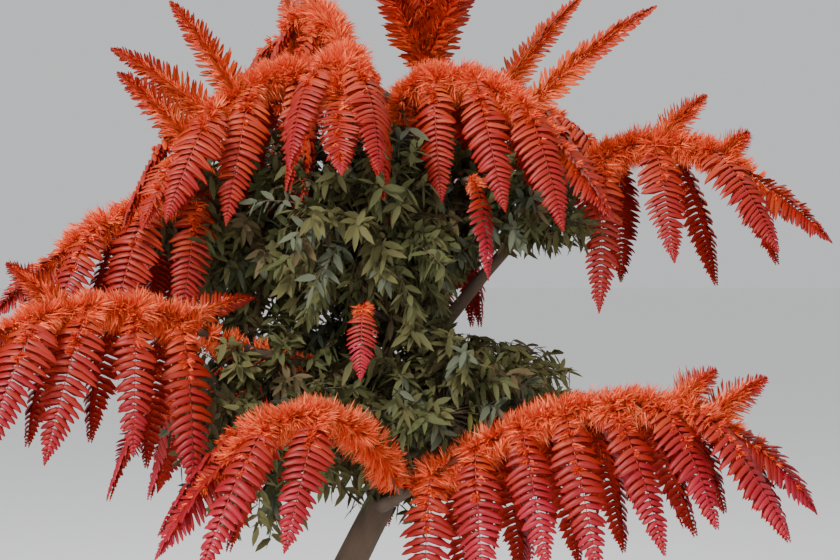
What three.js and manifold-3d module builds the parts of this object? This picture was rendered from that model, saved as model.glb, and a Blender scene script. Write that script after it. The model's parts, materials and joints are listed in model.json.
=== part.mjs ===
// A staghorn sumac in autumn dress: a small leaning tree with arching boughs. Each bough ends in a
// shoot that is bristly with short orange leaflets, and hung with long red pinnate fronds.
// Grey-green leaves fill the inside of the crown. Millimetres, +Z up, +X to the viewer's right,
// +Y away from the viewer. The origin is the middle of the flat cut under the trunk, at ground level.

import * as THREE from "three";
import { mergeVertices } from "three/addons/utils/BufferGeometryUtils.js";
import Module from "manifold-3d";

const wasm = await Module();
wasm.setup();

// Driving dimensions: places are given round the crown's axis, as an azimuth in degrees
// (0 to the right, -90 to the viewer), a radius and a height
const CROWN_AXIS_X = 260;
const GAP = 0.4;
const TRIM = 0.1;
const WELD = 1e-4;
const PLACE_DIGITS = 3;

// Trunk
const TRUNK_CONTROLS = [[0, 0, 0], [0, 0, 430], [150, 0, 650], [341, 0, 1038]];
const TRUNK_RADIUS_FOOT = 50;
const TRUNK_RADIUS_FORK = 33;
const FLARE_REACH = 40;
const FLARE_HEIGHT = 80;
const FLARE_LOBES = 5;
const FLARE_LOBE_DEPTH = 0.3;
const TRUNK_SIDES = 15;
const TRUNK_STEPS = 9;

// Boughs
const LEADER_TOP = { azimuth: 0, radius: 110, height: 1890 };
const LEADER_LIFT = { azimuth: 0, radius: 95, height: 1460 };
const LEADER_RADII = [27, 13];
const LEADER_STEPS = 6;
const BOUGH_RADII = { stout: [17, 10], slight: [12, 9] };
const BOUGH_SIDES = 5;
const BOUGH_STEPS = 3;
const BOUGH_LEAD_IN = 0.35;

// Shoots: one row each, with the root, the lift point that the arch bends towards, and the tip
// of its last frond. "at" is the share of the parent limb's length where the bough leaves it.
// "risers" are fronds that stand up: each has its share of the arch, its turn from the arch's
// bearing and its pitch in degrees, and its length.
const SHOOTS = [
  {
    name: "low_right", parent: "trunk", at: 0.86, girth: "stout", hangFrom: 0,
    azimuth: [-65, -20], radius: [200, 850, 1030], height: [945, 1387, 908],
    risers: [[0.58, 5, 42, 120], [0.67, -5, 36, 150]],
  },
  {
    name: "low_front", parent: "trunk", at: 0.93, girth: "stout", hangFrom: 0.35,
    azimuth: [-77, -130], radius: [207, 600, 700], height: [960, 1360, 840], risers: [],
  },
  {
    name: "low_left", parent: "leader", at: 0.16, girth: "stout", hangFrom: 0.02, spur: 200,
    azimuth: [-150, -145], radius: [470, 790, 1107], height: [1310, 1450, 1200],
    risers: [[0.5, -30, 40, 160]],
  },
  {
    name: "low_far_left", parent: "leader", at: 0.08, girth: "stout",
    azimuth: [148, 142], radius: [230, 610, 930], height: [1090, 1300, 900],
    risers: [[0.45, 20, 40, 220]],
  },
  {
    name: "low_back_left", parent: "trunk", at: 0.97, girth: "stout",
    azimuth: [108, 104], radius: [210, 600, 950], height: [1070, 1320, 900],
    risers: [[0.5, -15, 35, 200]],
  },
  {
    name: "low_back", parent: "trunk", at: 0.9, girth: "stout",
    azimuth: [70, 74], radius: [210, 620, 960], height: [1030, 1300, 880],
    risers: [[0.4, 15, 45, 220]],
  },
  {
    name: "low_far_right", parent: "trunk", at: 0.95, girth: "stout",
    azimuth: [34, 30], radius: [240, 640, 1000], height: [1030, 1230, 850], risers: [],
  },
  {
    name: "mid_left", parent: "leader", at: 0.5, girth: "slight",
    azimuth: [-170, -161], radius: [354, 617, 906], height: [1635, 1630, 1335], risers: [],
  },
  {
    name: "mid_back_left", parent: "leader", at: 0.42, girth: "slight",
    azimuth: [143, 150], radius: [330, 640, 930], height: [1590, 1660, 1290],
    risers: [[0.45, -15, 40, 220]],
  },
  {
    name: "mid_back", parent: "leader", at: 0.36, girth: "slight",
    azimuth: [60, 88], radius: [330, 640, 930], height: [1570, 1720, 1320],
    risers: [[0.4, 15, 45, 240]],
  },
  {
    name: "mid_right", parent: "leader", at: 0.22, girth: "stout",
    azimuth: [-7, -12], radius: [510, 720, 1057], height: [1690, 1850, 1505],
    risers: [[0.33, 10, 44, 160], [0.6, -5, 42, 90]],
  },
  {
    name: "top_left", parent: "leader", at: 0.9, girth: "slight",
    azimuth: [-156, -142], radius: [149, 439, 637], height: [1915, 1900, 1530],
    risers: [[0.42, -25, 54, 260], [0.56, -35, 34, 270], [0.68, -30, 42, 220]],
  },
  {
    name: "top_front", parent: "leader", at: 0.82, girth: "slight",
    azimuth: [-115, -97], radius: [122, 344, 520], height: [1866, 2040, 1640], risers: [],
  },
  {
    name: "top_right", parent: "leader", at: 0.74, girth: "slight",
    azimuth: [-48, -35], radius: [120, 377, 638], height: [1870, 1960, 1550],
    risers: [[0.6, 20, 38, 370]],
  },
  {
    name: "top_back_right", parent: "leader", at: 0.86, girth: "slight",
    azimuth: [20, 23], radius: [160, 420, 700], height: [1850, 1980, 1540],
    risers: [[0.3, -22, 50, 330]],
  },
  {
    name: "top_back", parent: "leader", at: 0.78, girth: "slight",
    azimuth: [72, 66], radius: [140, 400, 670], height: [1850, 2000, 1560],
    risers: [[0.4, 15, 50, 260]],
  },
  {
    name: "top_back_left", parent: "leader", at: 0.7, girth: "slight",
    azimuth: [130, 122], radius: [120, 350, 620], height: [1950, 2360, 1600],
    risers: [[0.3, 15, 50, 260], [0.55, -15, 38, 240]],
  },
];
const SHOOT_SHARE = 0.7;
const SHOOT_SIDES = 6;
const SHOOT_RINGS = 8;
const SHOOT_STEM_RADIUS = 9;
const BRISTLE_CORE = 27;
const BRISTLE_TIP = 56;
const BRISTLE_FADE = 0.45;
const BRISTLE_UPRIGHT = 0.18;

// Fronds: pinnate leaves. One that hangs goes out from its shoot, then falls.
const HANGING_PER_SHOOT = 4;
const HANG_FROM = 0.12;
const FROND_PAIRS = 5;
const FROND_WIDTH = 150;
const FROND_TIP_THINNING = 0.45;
const REACH_AT_ROOT = 0.55;
const REACH_GROWTH = 1.6;
const REACH_TAPER = [2.4, 1.1];
const REACH_LEAST = 0.03;
const FROND_OUT = [95, 150];
const FROND_FALL = [375, 255];
const FROND_FALL_VARIES = [0.82, 1.08];
const FROND_SPLAY = [80, 38];
const FROND_SPLAY_VARIES = 16;
const FROND_LEAN = [-9, 126];
const FROND_LEAN_VARIES = 60;
const FROND_BEND_OUT = 0.85;
const FROND_BEND_UP = 22;
const LAST_FROND_WIDTH = 120;
const LAST_FROND_OVERLAP = 0.04;
const LAST_FROND_BEND = 150;
const LEAFLET_LEAN = 0.5;
const LEAFLET_DROOP = 0.16;
const RISER_WIDTH = 88;
const RISER_RETRY_TURN = 8;
const RISER_BOW = 0.1;
const RISER_LEAN = 1.1;
const SPUR_FROM = 0.06;
const SPUR_PITCH = 16;
const SPUR_WIDTH = 75;
const RIB_HALF_WIDTH = 4;
const RIB_DEPTH = 7;
const RIB_RISE = 0.4;
const FROND_TRIES = 4;

// The tuft of upright fronds on the leader's tip
const TUFT_HEIGHT = 110;
const TUFT_RADIUS = 30;
const TUFT_ROOT = 0.4;
const TUFT_FRONDS = 8;
const TUFT_LENGTH = 370;
const TUFT_WIDTH = 120;
const TUFT_PITCH = [74, 54];
const TUFT_LEAN = 0.9;
const TUFT_RETRY_TURN = 0.3;
const TUFT_RETRY_PITCH = 6;

// Two small sprays with one frond each, that hang inside the front of the crown
const SPRAYS = [
  {
    name: "inner_right", parent: "mid_right_bough", at: 0.72,
    azimuth: -47, radius: 310, height: 1650, fall: 230,
  },
  {
    name: "inner_front", parent: "leader", at: 0.3,
    azimuth: -95, radius: 290, height: 1360, fall: 160,
  },
];
const SPRAY_WIDTH = 85;
const SPRAY_RADIUS = 24;
const SPRAY_KNOT = 52;
const SPRAY_OUT = [45, 60];
const SPRAY_TWIG_RADII = [8, 6];
const KNOT_SIDES = 6;
const KNOT_STEPS = 3;
const KNOT_END_RADIUS = 7;
const KNOT_END_SHARE = 0.2;

// Grey-green leaves inside the crown, in two oval rings of masses
const LEAF_RINGS = [
  {
    name: "lower", count: 4, parent: "leader", at: 0.12,
    first: -150, spread: [300, 190], height: 1115, size: 285,
  },
  {
    name: "upper", count: 4, parent: "leader", at: 0.62,
    first: -95, spread: [290, 190], height: 1540, size: 285,
  },
];
const LEAF_TWIGS = 7;
const LEAF_LENGTH = 150;
const LEAF_WIDTH = 52;
const LEAF_THICKNESS = 4;
const LEAF_CORE_SHARE = 0.38;
const LEAF_SUNK = 16;
const LEAF_TURN = 1.5;
const LEAF_OUTWARD = 0.55;
const LEAF_SAG = 0.1;
const LEAF_DRAWS = [0, 0.31, 0.57];
const LEAF_ROOTS = [0.6, 0.9];
const TWIG_SPAN = [0.2, 0.62];
const STEM_RADII = [11, 9];
const TWIG_RADII = [6, 4];

// A repeatable random share between 0 and 1 for each whole number
function chance(n) {
  const v = Math.sin(n * 12.9898) * 43758.5453;
  return v - Math.floor(v);
}

// A value between two ends
function mix([from, to], share) {
  return from + (to - from) * share;
}

// A point by azimuth, radius and height round the crown's axis
function place(azimuth, radius, height) {
  const angle = THREE.MathUtils.degToRad(azimuth);
  return new THREE.Vector3(CROWN_AXIS_X + radius * Math.cos(angle), radius * Math.sin(angle), height);
}

// A level direction by azimuth in radians
function level(angle) {
  return new THREE.Vector3(Math.cos(angle), Math.sin(angle), 0);
}

// The frame at a share t of a curve: its place, its heading, and two directions across it.
// "across" is a level direction that the curve never follows.
function frameAt(curve, t, across) {
  const heading = curve.getTangent(t);
  const side = across.clone().addScaledVector(heading, -heading.dot(across)).normalize();
  return { at: curve.getPoint(t), heading, side, up: new THREE.Vector3().crossVectors(side, heading) };
}

// A three.js geometry as a manifold solid
function solidOf(geometry) {
  geometry.deleteAttribute("normal");
  geometry.deleteAttribute("uv");
  const merged = mergeVertices(geometry, WELD);
  return new wasm.Manifold(new wasm.Mesh({
    numProp: 3,
    vertProperties: new Float32Array(merged.attributes.position.array),
    triVerts: new Uint32Array(merged.index.array),
  }));
}

// The largest body of a solid: loose scraps are dropped and sealed hollows filled
function whole(solid) {
  return solid.decompose().reduce((a, b) => (a.volume() > b.volume() ? a : b));
}

// A cylinder bent on to a curve, from share t0 to t1, its radius given at each ring and side.
// "grow" makes it wider and longer all round, to cut its neighbours clear of it.
function bentTube({ curve, across, t0 = 0, t1 = 1, radiusAt, sides, steps, grow = 0 }) {
  const tube = new THREE.CylinderGeometry(1, 1, 1, sides, steps);
  const position = tube.getAttribute("position");
  const v = new THREE.Vector3();
  for (let i = 0; i < position.count; i += 1) {
    v.fromBufferAttribute(position, i);
    const share = v.y + 0.5;
    const frame = frameAt(curve, t0 + (t1 - t0) * share, across);
    const outward = frame.up.clone().multiplyScalar(v.z).addScaledVector(frame.side, v.x);
    const onAxis = outward.length() < 0.5;
    const radius = onAxis ? 0 : radiusAt(share, Math.atan2(v.x, v.z), outward) + grow;
    const end = share < 1e-6 ? -grow : share > 1 - 1e-6 ? grow : 0;
    v.copy(frame.at).addScaledVector(outward, radius).addScaledVector(frame.heading, end);
    position.setXYZ(i, v.x, v.y, v.z);
  }
  return solidOf(tube);
}

// How far leaflets reach along a frond: soon at full width, then a long taper to the tip
function leafletReach(share) {
  const taper = (1 - share ** REACH_TAPER[0]) ** REACH_TAPER[1];
  return Math.min(1, REACH_AT_ROOT + REACH_GROWTH * share) * taper + REACH_LEAST;
}

// The corners of a frond's rib at one place: left, right, and the keel under them
function ribCorners({ at, side, up }, thin) {
  const top = at.clone().addScaledVector(up, RIB_RISE * RIB_DEPTH * thin);
  return [
    top.clone().addScaledVector(side, -RIB_HALF_WIDTH * thin),
    top.clone().addScaledVector(side, RIB_HALF_WIDTH * thin),
    at.clone().addScaledVector(up, (RIB_RISE - 1) * RIB_DEPTH * thin),
  ];
}

// A toothed blade along a curve: a three-sided rib, and a pointed leaflet on each side of every
// length of it. The leaflets lean forward and their tips drop below the rib.
function frondBlade({ curve, across, width, pairs = FROND_PAIRS, lean = LEAFLET_LEAN }) {
  const corners = [];
  const faces = [];
  for (let k = 0; k <= pairs; k += 1) {
    corners.push(...ribCorners(frameAt(curve, k / pairs, across), 1 - FROND_TIP_THINNING * (k / pairs)));
  }
  for (let k = 0; k < pairs; k += 1) {
    const frame = frameAt(curve, Math.min(1, (k + 0.5 + lean) / pairs), across);
    const reach = 0.5 * width * leafletReach((k + 0.5) / pairs);
    const [left, right, keel] = [3 * k, 3 * k + 1, 3 * k + 2];
    const [leftTip, rightTip] = [-1, 1].map((side) => corners.push(frame.at.clone()
      .addScaledVector(frame.side, side * reach)
      .addScaledVector(frame.up, -LEAFLET_DROOP * reach)) - 1);
    faces.push([left, right, right + 3], [left, right + 3, left + 3]);
    faces.push([left, left + 3, leftTip], [left + 3, keel + 3, leftTip]);
    faces.push([keel + 3, keel, leftTip], [keel, left, leftTip]);
    faces.push([right + 3, right, rightTip], [keel + 3, right + 3, rightTip]);
    faces.push([keel, keel + 3, rightTip], [right, keel, rightTip]);
  }
  const last = 3 * pairs;
  faces.push([0, 2, 1], [last, last + 1, last + 2]);
  const geometry = new THREE.BufferGeometry().setFromPoints(corners);
  geometry.setIndex(faces.flat());
  return solidOf(geometry);
}

const parts = new Map();

// The box of a solid, grown by a margin, against another
function boxesMeet(a, b, margin) {
  const [p, q] = [a.boundingBox(), b.boundingBox()];
  return [0, 1, 2].every((i) => p.min[i] - margin < q.max[i] && q.min[i] - margin < p.max[i]);
}

// Whether a solid is nearer than the gap to any part other than its own
function touches(solid, own) {
  for (const [name, other] of parts) {
    if (name !== own && boxesMeet(solid, other.solid, GAP) && solid.minGap(other.solid, 2 * GAP) < GAP) {
      return true;
    }
  }
  return false;
}

// A solid with its neighbours' grown shapes cut away
function carved(solid, own) {
  let result = solid;
  for (const [name, other] of parts) {
    if (name !== own && other.grown && boxesMeet(result, other.grown, 0)) {
      result = result.subtract(other.grown);
    }
  }
  return whole(result);
}

// Keeps a limb, with the grown shape that clears its neighbours
function addLimb(name, colour, tube) {
  const solid = carved(bentTube(tube), name);
  parts.set(name, { solid, colour, grown: bentTube({ ...tube, grow: GAP }), curve: tube.curve });
}

// The trunk: a taper with a lobed flare at the foot, up to the fork
function addTrunk() {
  const curve = new THREE.CubicBezierCurve3(...TRUNK_CONTROLS.map((p) => new THREE.Vector3(...p)));
  addLimb("trunk", "bark", {
    curve,
    across: level(Math.PI / 2),
    sides: TRUNK_SIDES,
    steps: TRUNK_STEPS,
    radiusAt: (share, angle) => {
      const flare = Math.exp(-curve.getPoint(share).z / FLARE_HEIGHT);
      const lobe = 1 + FLARE_LOBE_DEPTH * Math.cos(FLARE_LOBES * angle);
      return mix([TRUNK_RADIUS_FOOT, TRUNK_RADIUS_FORK], share) + FLARE_REACH * flare * lobe;
    },
  });
}

// The leader carries the top of the crown on from the fork
function addLeader() {
  const foot = parts.get("trunk").curve.getPoint(1);
  const lift = place(LEADER_LIFT.azimuth, LEADER_LIFT.radius, LEADER_LIFT.height);
  const top = place(LEADER_TOP.azimuth, LEADER_TOP.radius, LEADER_TOP.height);
  addLimb("leader", "bark", {
    curve: new THREE.QuadraticBezierCurve3(foot, lift, top),
    across: level(Math.PI / 2),
    sides: BOUGH_SIDES,
    steps: LEADER_STEPS,
    radiusAt: (share) => mix(LEADER_RADII, share),
  });
}

// The arch of a shoot, and the level direction across it
function archOf(shoot) {
  const [a0, a2] = shoot.azimuth;
  const azimuths = [a0, (a0 + a2) / 2, a2];
  const points = azimuths.map((azimuth, i) => place(azimuth, shoot.radius[i], shoot.height[i]));
  const chord = points[2].clone().sub(points[0]);
  return {
    curve: new THREE.QuadraticBezierCurve3(...points),
    across: new THREE.Vector3(chord.y, -chord.x, 0).normalize(),
  };
}

// A bough leaves its parent limb and meets the root of its shoot face to face
function addBough(name, arch, parent, at, radii) {
  const start = parts.get(parent).curve.getPoint(at);
  const root = arch.curve.getPoint(0);
  const leadIn = BOUGH_LEAD_IN * start.distanceTo(root);
  const bend = root.clone().addScaledVector(arch.curve.getTangent(0), -leadIn);
  addLimb(name, "bark", {
    curve: new THREE.QuadraticBezierCurve3(start, bend, root),
    across: arch.across,
    sides: BOUGH_SIDES,
    steps: BOUGH_STEPS,
    radiusAt: (share) => mix(radii, share),
  });
}

// The bristly body of a shoot: every other corner stands out, most of all on the upper side
function bristledStem(arch, share) {
  const start = GAP / arch.curve.getLength();
  const tube = {
    curve: arch.curve,
    across: arch.across,
    t0: start,
    t1: share,
    sides: SHOOT_SIDES,
    steps: SHOOT_RINGS,
    radiusAt: (along, angle, outward) => {
      const ring = Math.round(along * SHOOT_RINGS);
      if (ring === 0 || ring === SHOOT_RINGS) return SHOOT_STEM_RADIUS;
      const corner = Math.round((angle * SHOOT_SIDES) / (2 * Math.PI));
      const length = (ring + corner) % 2 === 0 ? BRISTLE_TIP : BRISTLE_CORE;
      const swell = 1 - BRISTLE_FADE * along ** 2;
      return length * swell * (1 - BRISTLE_UPRIGHT * (1 - outward.z));
    },
  };
  return { solid: bentTube(tube), grown: bentTube({ ...tube, grow: GAP }) };
}

// The azimuth of a curve's heading, in radians
function bearing(curve, t) {
  const heading = curve.getTangent(t);
  return Math.atan2(heading.y, heading.x);
}

// The line of a hanging frond: out from the shoot on its side and forward, then down
function hangingLine(arch, t, side, seed) {
  const share = t / SHOOT_SHARE;
  const root = arch.curve.getPoint(t);
  const forward = bearing(arch.curve, t);
  const splay = mix(FROND_SPLAY, share) + FROND_SPLAY_VARIES * (chance(seed) - 0.5);
  const facing = forward + side * THREE.MathUtils.degToRad(splay);
  const reach = mix(FROND_OUT, share);
  const lean = mix(FROND_LEAN, share) + FROND_LEAN_VARIES * (chance(seed + 5) - 0.5);
  const fall = mix(FROND_FALL, share) * mix(FROND_FALL_VARIES, chance(seed + 3));
  const bend = root.clone().addScaledVector(level(facing), FROND_BEND_OUT * reach);
  bend.z += FROND_BEND_UP;
  const tip = root.clone().addScaledVector(level(facing), reach);
  tip.addScaledVector(level(forward), lean);
  tip.z -= fall;
  return { curve: new THREE.QuadraticBezierCurve3(root, bend, tip), across: level(facing - Math.PI / 2) };
}

// The line of a frond that stands up and out, bowed a little by its weight
function risingLine(root, facing, pitch, length) {
  const angle = THREE.MathUtils.degToRad(pitch);
  const tip = root.clone().addScaledVector(level(facing), length * Math.cos(angle));
  tip.z += length * Math.sin(angle);
  const bend = root.clone().lerp(tip, 0.5);
  bend.z += RISER_BOW * length;
  return { curve: new THREE.QuadraticBezierCurve3(root, bend, tip), across: level(facing - Math.PI / 2) };
}

// The line of a shoot's last frond, which carries its arch on to the tip
function lastLine(arch) {
  const bend = arch.curve.getPoint(SHOOT_SHARE);
  bend.addScaledVector(arch.curve.getTangent(SHOOT_SHARE), LAST_FROND_BEND);
  const root = arch.curve.getPoint(SHOOT_SHARE - LAST_FROND_OVERLAP);
  const tip = arch.curve.getPoint(1);
  return { curve: new THREE.QuadraticBezierCurve3(root, bend, tip), across: arch.across };
}

// A solid with its shortest edges gone
function trimmed(solid) {
  return whole(solid.asOriginal().simplify(TRIM));
}

// Whether two corners of a trimmed solid are in one place, so that two of its folds would touch
function isPinched(solid) {
  const { vertProperties } = trimmed(solid).getMesh();
  const places = new Set();
  for (let i = 0; i < vertProperties.length; i += 3) {
    places.add([...vertProperties.slice(i, i + 3)].map((v) => v.toFixed(PLACE_DIGITS)).join());
  }
  return places.size < vertProperties.length / 3;
}

// A body with a piece joined on, or the body alone where the piece touches another part or leaves
// the body pinched
function withPiece(name, body, piece) {
  if (touches(piece, name)) return body;
  const joined = whole(body.add(piece));
  return isPinched(joined) ? body : joined;
}

// Joins fronds to a body one by one. A frond that can't stay is tried again with another seed,
// and left out in the end.
function joinFronds(name, body, count, frondFor) {
  let joined = body;
  for (let k = 0; k < count; k += 1) {
    const before = joined;
    for (let n = 0; n < FROND_TRIES && joined === before; n += 1) {
      joined = withPiece(name, before, frondBlade(frondFor(k, n)));
    }
  }
  return joined;
}

// The line of a spike that points back along the bough from near a shoot's root
function spurLine(arch, length) {
  const facing = bearing(arch.curve, SPUR_FROM) + Math.PI;
  return risingLine(arch.curve.getPoint(SPUR_FROM), facing, SPUR_PITCH, length);
}

// All the fronds of one shoot: the last one, those that hang, those that stand up, and the spur
function addFronds(shoot, index) {
  const arch = archOf(shoot);
  const seed = 100 * index;
  const body = parts.get(shoot.name);
  const join = (count, frondFor) => {
    body.solid = joinFronds(shoot.name, body.solid, count, frondFor);
  };
  join(1, () => ({ ...lastLine(arch), width: LAST_FROND_WIDTH }));
  const hangSpan = [shoot.hangFrom ?? HANG_FROM, SHOOT_SHARE - LAST_FROND_OVERLAP];
  join(HANGING_PER_SHOOT, (k, n) => {
    const t = mix(hangSpan, (k + 0.5) / HANGING_PER_SHOOT);
    const side = (k + index + (n < FROND_TRIES / 2 ? 0 : 1)) % 2 === 0 ? -1 : 1;
    return { ...hangingLine(arch, t, side, seed + 10 * k + n), width: FROND_WIDTH };
  });
  join(shoot.risers.length, (k, n) => {
    const [t, turn, pitch, length] = shoot.risers[k];
    const facing = bearing(arch.curve, t) + THREE.MathUtils.degToRad(turn + RISER_RETRY_TURN * n);
    const line = risingLine(arch.curve.getPoint(t), facing, pitch, length);
    return { ...line, width: RISER_WIDTH, lean: RISER_LEAN };
  });
  if (shoot.spur) {
    join(1, () => ({ ...spurLine(arch, shoot.spur), width: SPUR_WIDTH, lean: RISER_LEAN }));
  }
}

// A short body that swells between its two ends
function knotAlong(from, heading, length, radius) {
  return bentTube({
    curve: new THREE.LineCurve3(from, from.clone().addScaledVector(heading, length)),
    across: Math.abs(heading.z) > 0.5 ? level(Math.PI / 2) : new THREE.Vector3(0, 0, 1),
    sides: KNOT_SIDES,
    steps: KNOT_STEPS,
    radiusAt: (share) => (Math.min(share, 1 - share) > KNOT_END_SHARE ? radius : KNOT_END_RADIUS),
  });
}

// The upright tuft at the top of the tree
function addTuft() {
  const leader = parts.get("leader").curve;
  const heading = leader.getTangent(1);
  const foot = leader.getPoint(1).addScaledVector(heading, 2 * GAP);
  const body = carved(knotAlong(foot, heading, TUFT_HEIGHT, TUFT_RADIUS), "crown_top");
  const root = foot.clone().addScaledVector(heading, TUFT_ROOT * TUFT_HEIGHT);
  const solid = joinFronds("crown_top", body, TUFT_FRONDS, (k, n) => {
    const facing = (2 * Math.PI * (k + TUFT_RETRY_TURN * n)) / TUFT_FRONDS;
    const pitch = mix(TUFT_PITCH, k % 2) + TUFT_RETRY_PITCH * n;
    return { ...risingLine(root, facing, pitch, TUFT_LENGTH), width: TUFT_WIDTH, lean: TUFT_LEAN };
  });
  parts.set("crown_top", { solid, colour: "scarlet" });
}

// A small spray: a knot of short leaflets on a twig, with one frond that hangs from it
function addSpray({ name, azimuth, radius, height, fall, parent, at }) {
  const facing = THREE.MathUtils.degToRad(azimuth);
  const out = level(facing);
  const root = place(azimuth, radius, height);
  const bend = root.clone().addScaledVector(out, SPRAY_OUT[0]);
  const tip = root.clone().addScaledVector(out, SPRAY_OUT[1]);
  tip.z -= fall;
  const across = level(facing - Math.PI / 2);
  const arch = { curve: new THREE.QuadraticBezierCurve3(root, bend, tip), across };
  addBough(`${name}_twig`, arch, parent, at, SPRAY_TWIG_RADII);
  const foot = root.clone().addScaledVector(out, GAP);
  const knot = knotAlong(foot, out, SPRAY_KNOT, SPRAY_RADIUS);
  const middle = foot.clone().addScaledVector(out, 0.5 * SPRAY_KNOT);
  const frond = { curve: new THREE.QuadraticBezierCurve3(middle, bend, tip), across, width: SPRAY_WIDTH };
  parts.set(name, { solid: joinFronds(name, knot, 1, () => frond), colour: "scarlet" });
}

// A leaf is an eight-sided blade with its stalk end at a point, laid along a direction
function leafBlade(root, along, length) {
  const leaf = new THREE.OctahedronGeometry(1);
  leaf.scale(LEAF_WIDTH / 2, length / 2, LEAF_THICKNESS / 2);
  leaf.translate(0, length / 2 - LEAF_SUNK, 0);
  leaf.applyQuaternion(new THREE.Quaternion().setFromUnitVectors(new THREE.Vector3(0, 1, 0), along));
  leaf.translate(root.x, root.y, root.z);
  return solidOf(leaf);
}

// A straight three-sided twig
function twigBetween(from, to, radii) {
  const heading = to.clone().sub(from).normalize();
  const across = Math.abs(heading.z) > 0.9 ? new THREE.Vector3(1, 0, 0) : new THREE.Vector3(0, 0, 1);
  return bentTube({
    curve: new THREE.LineCurve3(from, to),
    across,
    sides: 3,
    steps: 1,
    radiusAt: (share) => mix(radii, share),
  });
}

// A direction spread evenly over a ball, by index
function ballDirection(k, count) {
  const z = 1 - (2 * (k + 0.5)) / count;
  return level(k * Math.PI * (3 - Math.sqrt(5))).multiplyScalar(Math.sqrt(1 - z * z)).setZ(z);
}

// The way a leaf points: partly out along its twig, partly by chance, and a little down
function leafDirection(out, draw) {
  const [x, y, z] = LEAF_DRAWS.map((offset) => chance(draw + offset) - 0.5);
  const turn = new THREE.Vector3(x, y, z - LEAF_SAG);
  return out.clone().multiplyScalar(LEAF_OUTWARD).addScaledVector(turn, LEAF_TURN).normalize();
}

// The middle of one mass of an oval ring
function onOval(ring, k) {
  const angle = THREE.MathUtils.degToRad(ring.first + (360 * k) / ring.count);
  const [x, y] = ring.spread;
  return new THREE.Vector3(CROWN_AXIS_X + x * Math.cos(angle), y * Math.sin(angle), ring.height);
}

// The masses of grey-green leaves, ring by ring
const LEAF_MASSES = LEAF_RINGS.flatMap((ring, r) => Array.from({ length: ring.count }, (_, k) => ({
  name: `leaves_${ring.name}_${k + 1}`,
  centre: onOval(ring, k),
  size: ring.size,
  parent: ring.parent,
  at: ring.at,
  seed: 500 * r + 100 * k,
})));

// The heart of a mass: a stem from its parent limb to a small core
function addLeafCore({ name, centre, size, parent, at }) {
  const core = new THREE.IcosahedronGeometry(LEAF_CORE_SHARE * size, 0);
  core.translate(centre.x, centre.y, centre.z);
  const stem = twigBetween(parts.get(parent).curve.getPoint(at), centre, STEM_RADII);
  parts.set(name, { solid: carved(wasm.Manifold.union([solidOf(core), stem]), name), colour: "leaf" });
}

// The twigs that fan out from a core, with leaves along them
function addLeaves({ name, centre, size, seed }) {
  const mass = parts.get(name);
  for (let k = 0; k < LEAF_TWIGS; k += 1) {
    const out = ballDirection(k, LEAF_TWIGS);
    const [root, end] = TWIG_SPAN.map((share) => centre.clone().addScaledVector(out, share * size));
    const withTwig = withPiece(name, mass.solid, twigBetween(root, end, TWIG_RADII));
    if (withTwig === mass.solid) continue;
    mass.solid = withTwig;
    LEAF_ROOTS.forEach((share, n) => {
      const along = leafDirection(out, seed + 7 * k + n);
      const leaf = leafBlade(root.clone().lerp(end, share), along, LEAF_LENGTH);
      mass.solid = withPiece(name, mass.solid, leaf);
    });
  }
}

addTrunk();
addLeader();
for (const shoot of SHOOTS) {
  addBough(`${shoot.name}_bough`, archOf(shoot), shoot.parent, shoot.at, BOUGH_RADII[shoot.girth]);
}
for (const shoot of SHOOTS) {
  const { solid, grown } = bristledStem(archOf(shoot), SHOOT_SHARE);
  parts.set(shoot.name, { solid: carved(solid, shoot.name), colour: "scarlet", grown });
}
SPRAYS.forEach(addSpray);
addTuft();
LEAF_MASSES.forEach(addLeafCore);
SHOOTS.forEach(addFronds);
LEAF_MASSES.forEach(addLeaves);

// Materials and meshes
const FINISHES = {
  bark: new THREE.MeshStandardMaterial({ color: 0x6a5142, roughness: 0.9, metalness: 0 }),
  scarlet: new THREE.MeshStandardMaterial({ color: 0xd23a26, roughness: 0.6, metalness: 0 }),
  leaf: new THREE.MeshStandardMaterial({ color: 0x4c553c, roughness: 0.65, metalness: 0 }),
};

// A manifold solid as a three.js geometry
function geometryOf(solid) {
  const mesh = trimmed(solid).getMesh();
  const geometry = new THREE.BufferGeometry();
  geometry.setAttribute("position", new THREE.BufferAttribute(new Float32Array(mesh.vertProperties), 3));
  geometry.setIndex(new THREE.BufferAttribute(new Uint32Array(mesh.triVerts), 1));
  geometry.computeVertexNormals();
  return geometry;
}

const tree = new THREE.Group();
for (const [name, { solid, colour }] of parts) {
  const mesh = new THREE.Mesh(geometryOf(solid), FINISHES[colour]);
  mesh.name = name;
  tree.add(mesh);
}

export default tree;
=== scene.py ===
# %% [markdown]
# # A staghorn sumac in autumn
# The tree is a short leaning trunk with boughs that arch out all round it. Every bough ends in a
# shoot that is furred with short orange leaflets and hung with long red fronds, and plain
# grey-green leaves fill the inside. All of it grows by one rule, written as numpy arrays: limbs,
# then shoots, then fronds, then leaflets. The solids of the frame follow the same rule with fewer
# and larger leaflets, so everything here grows inside their reach. Sizes are in metres.

# %% Load the frame
import json

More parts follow.
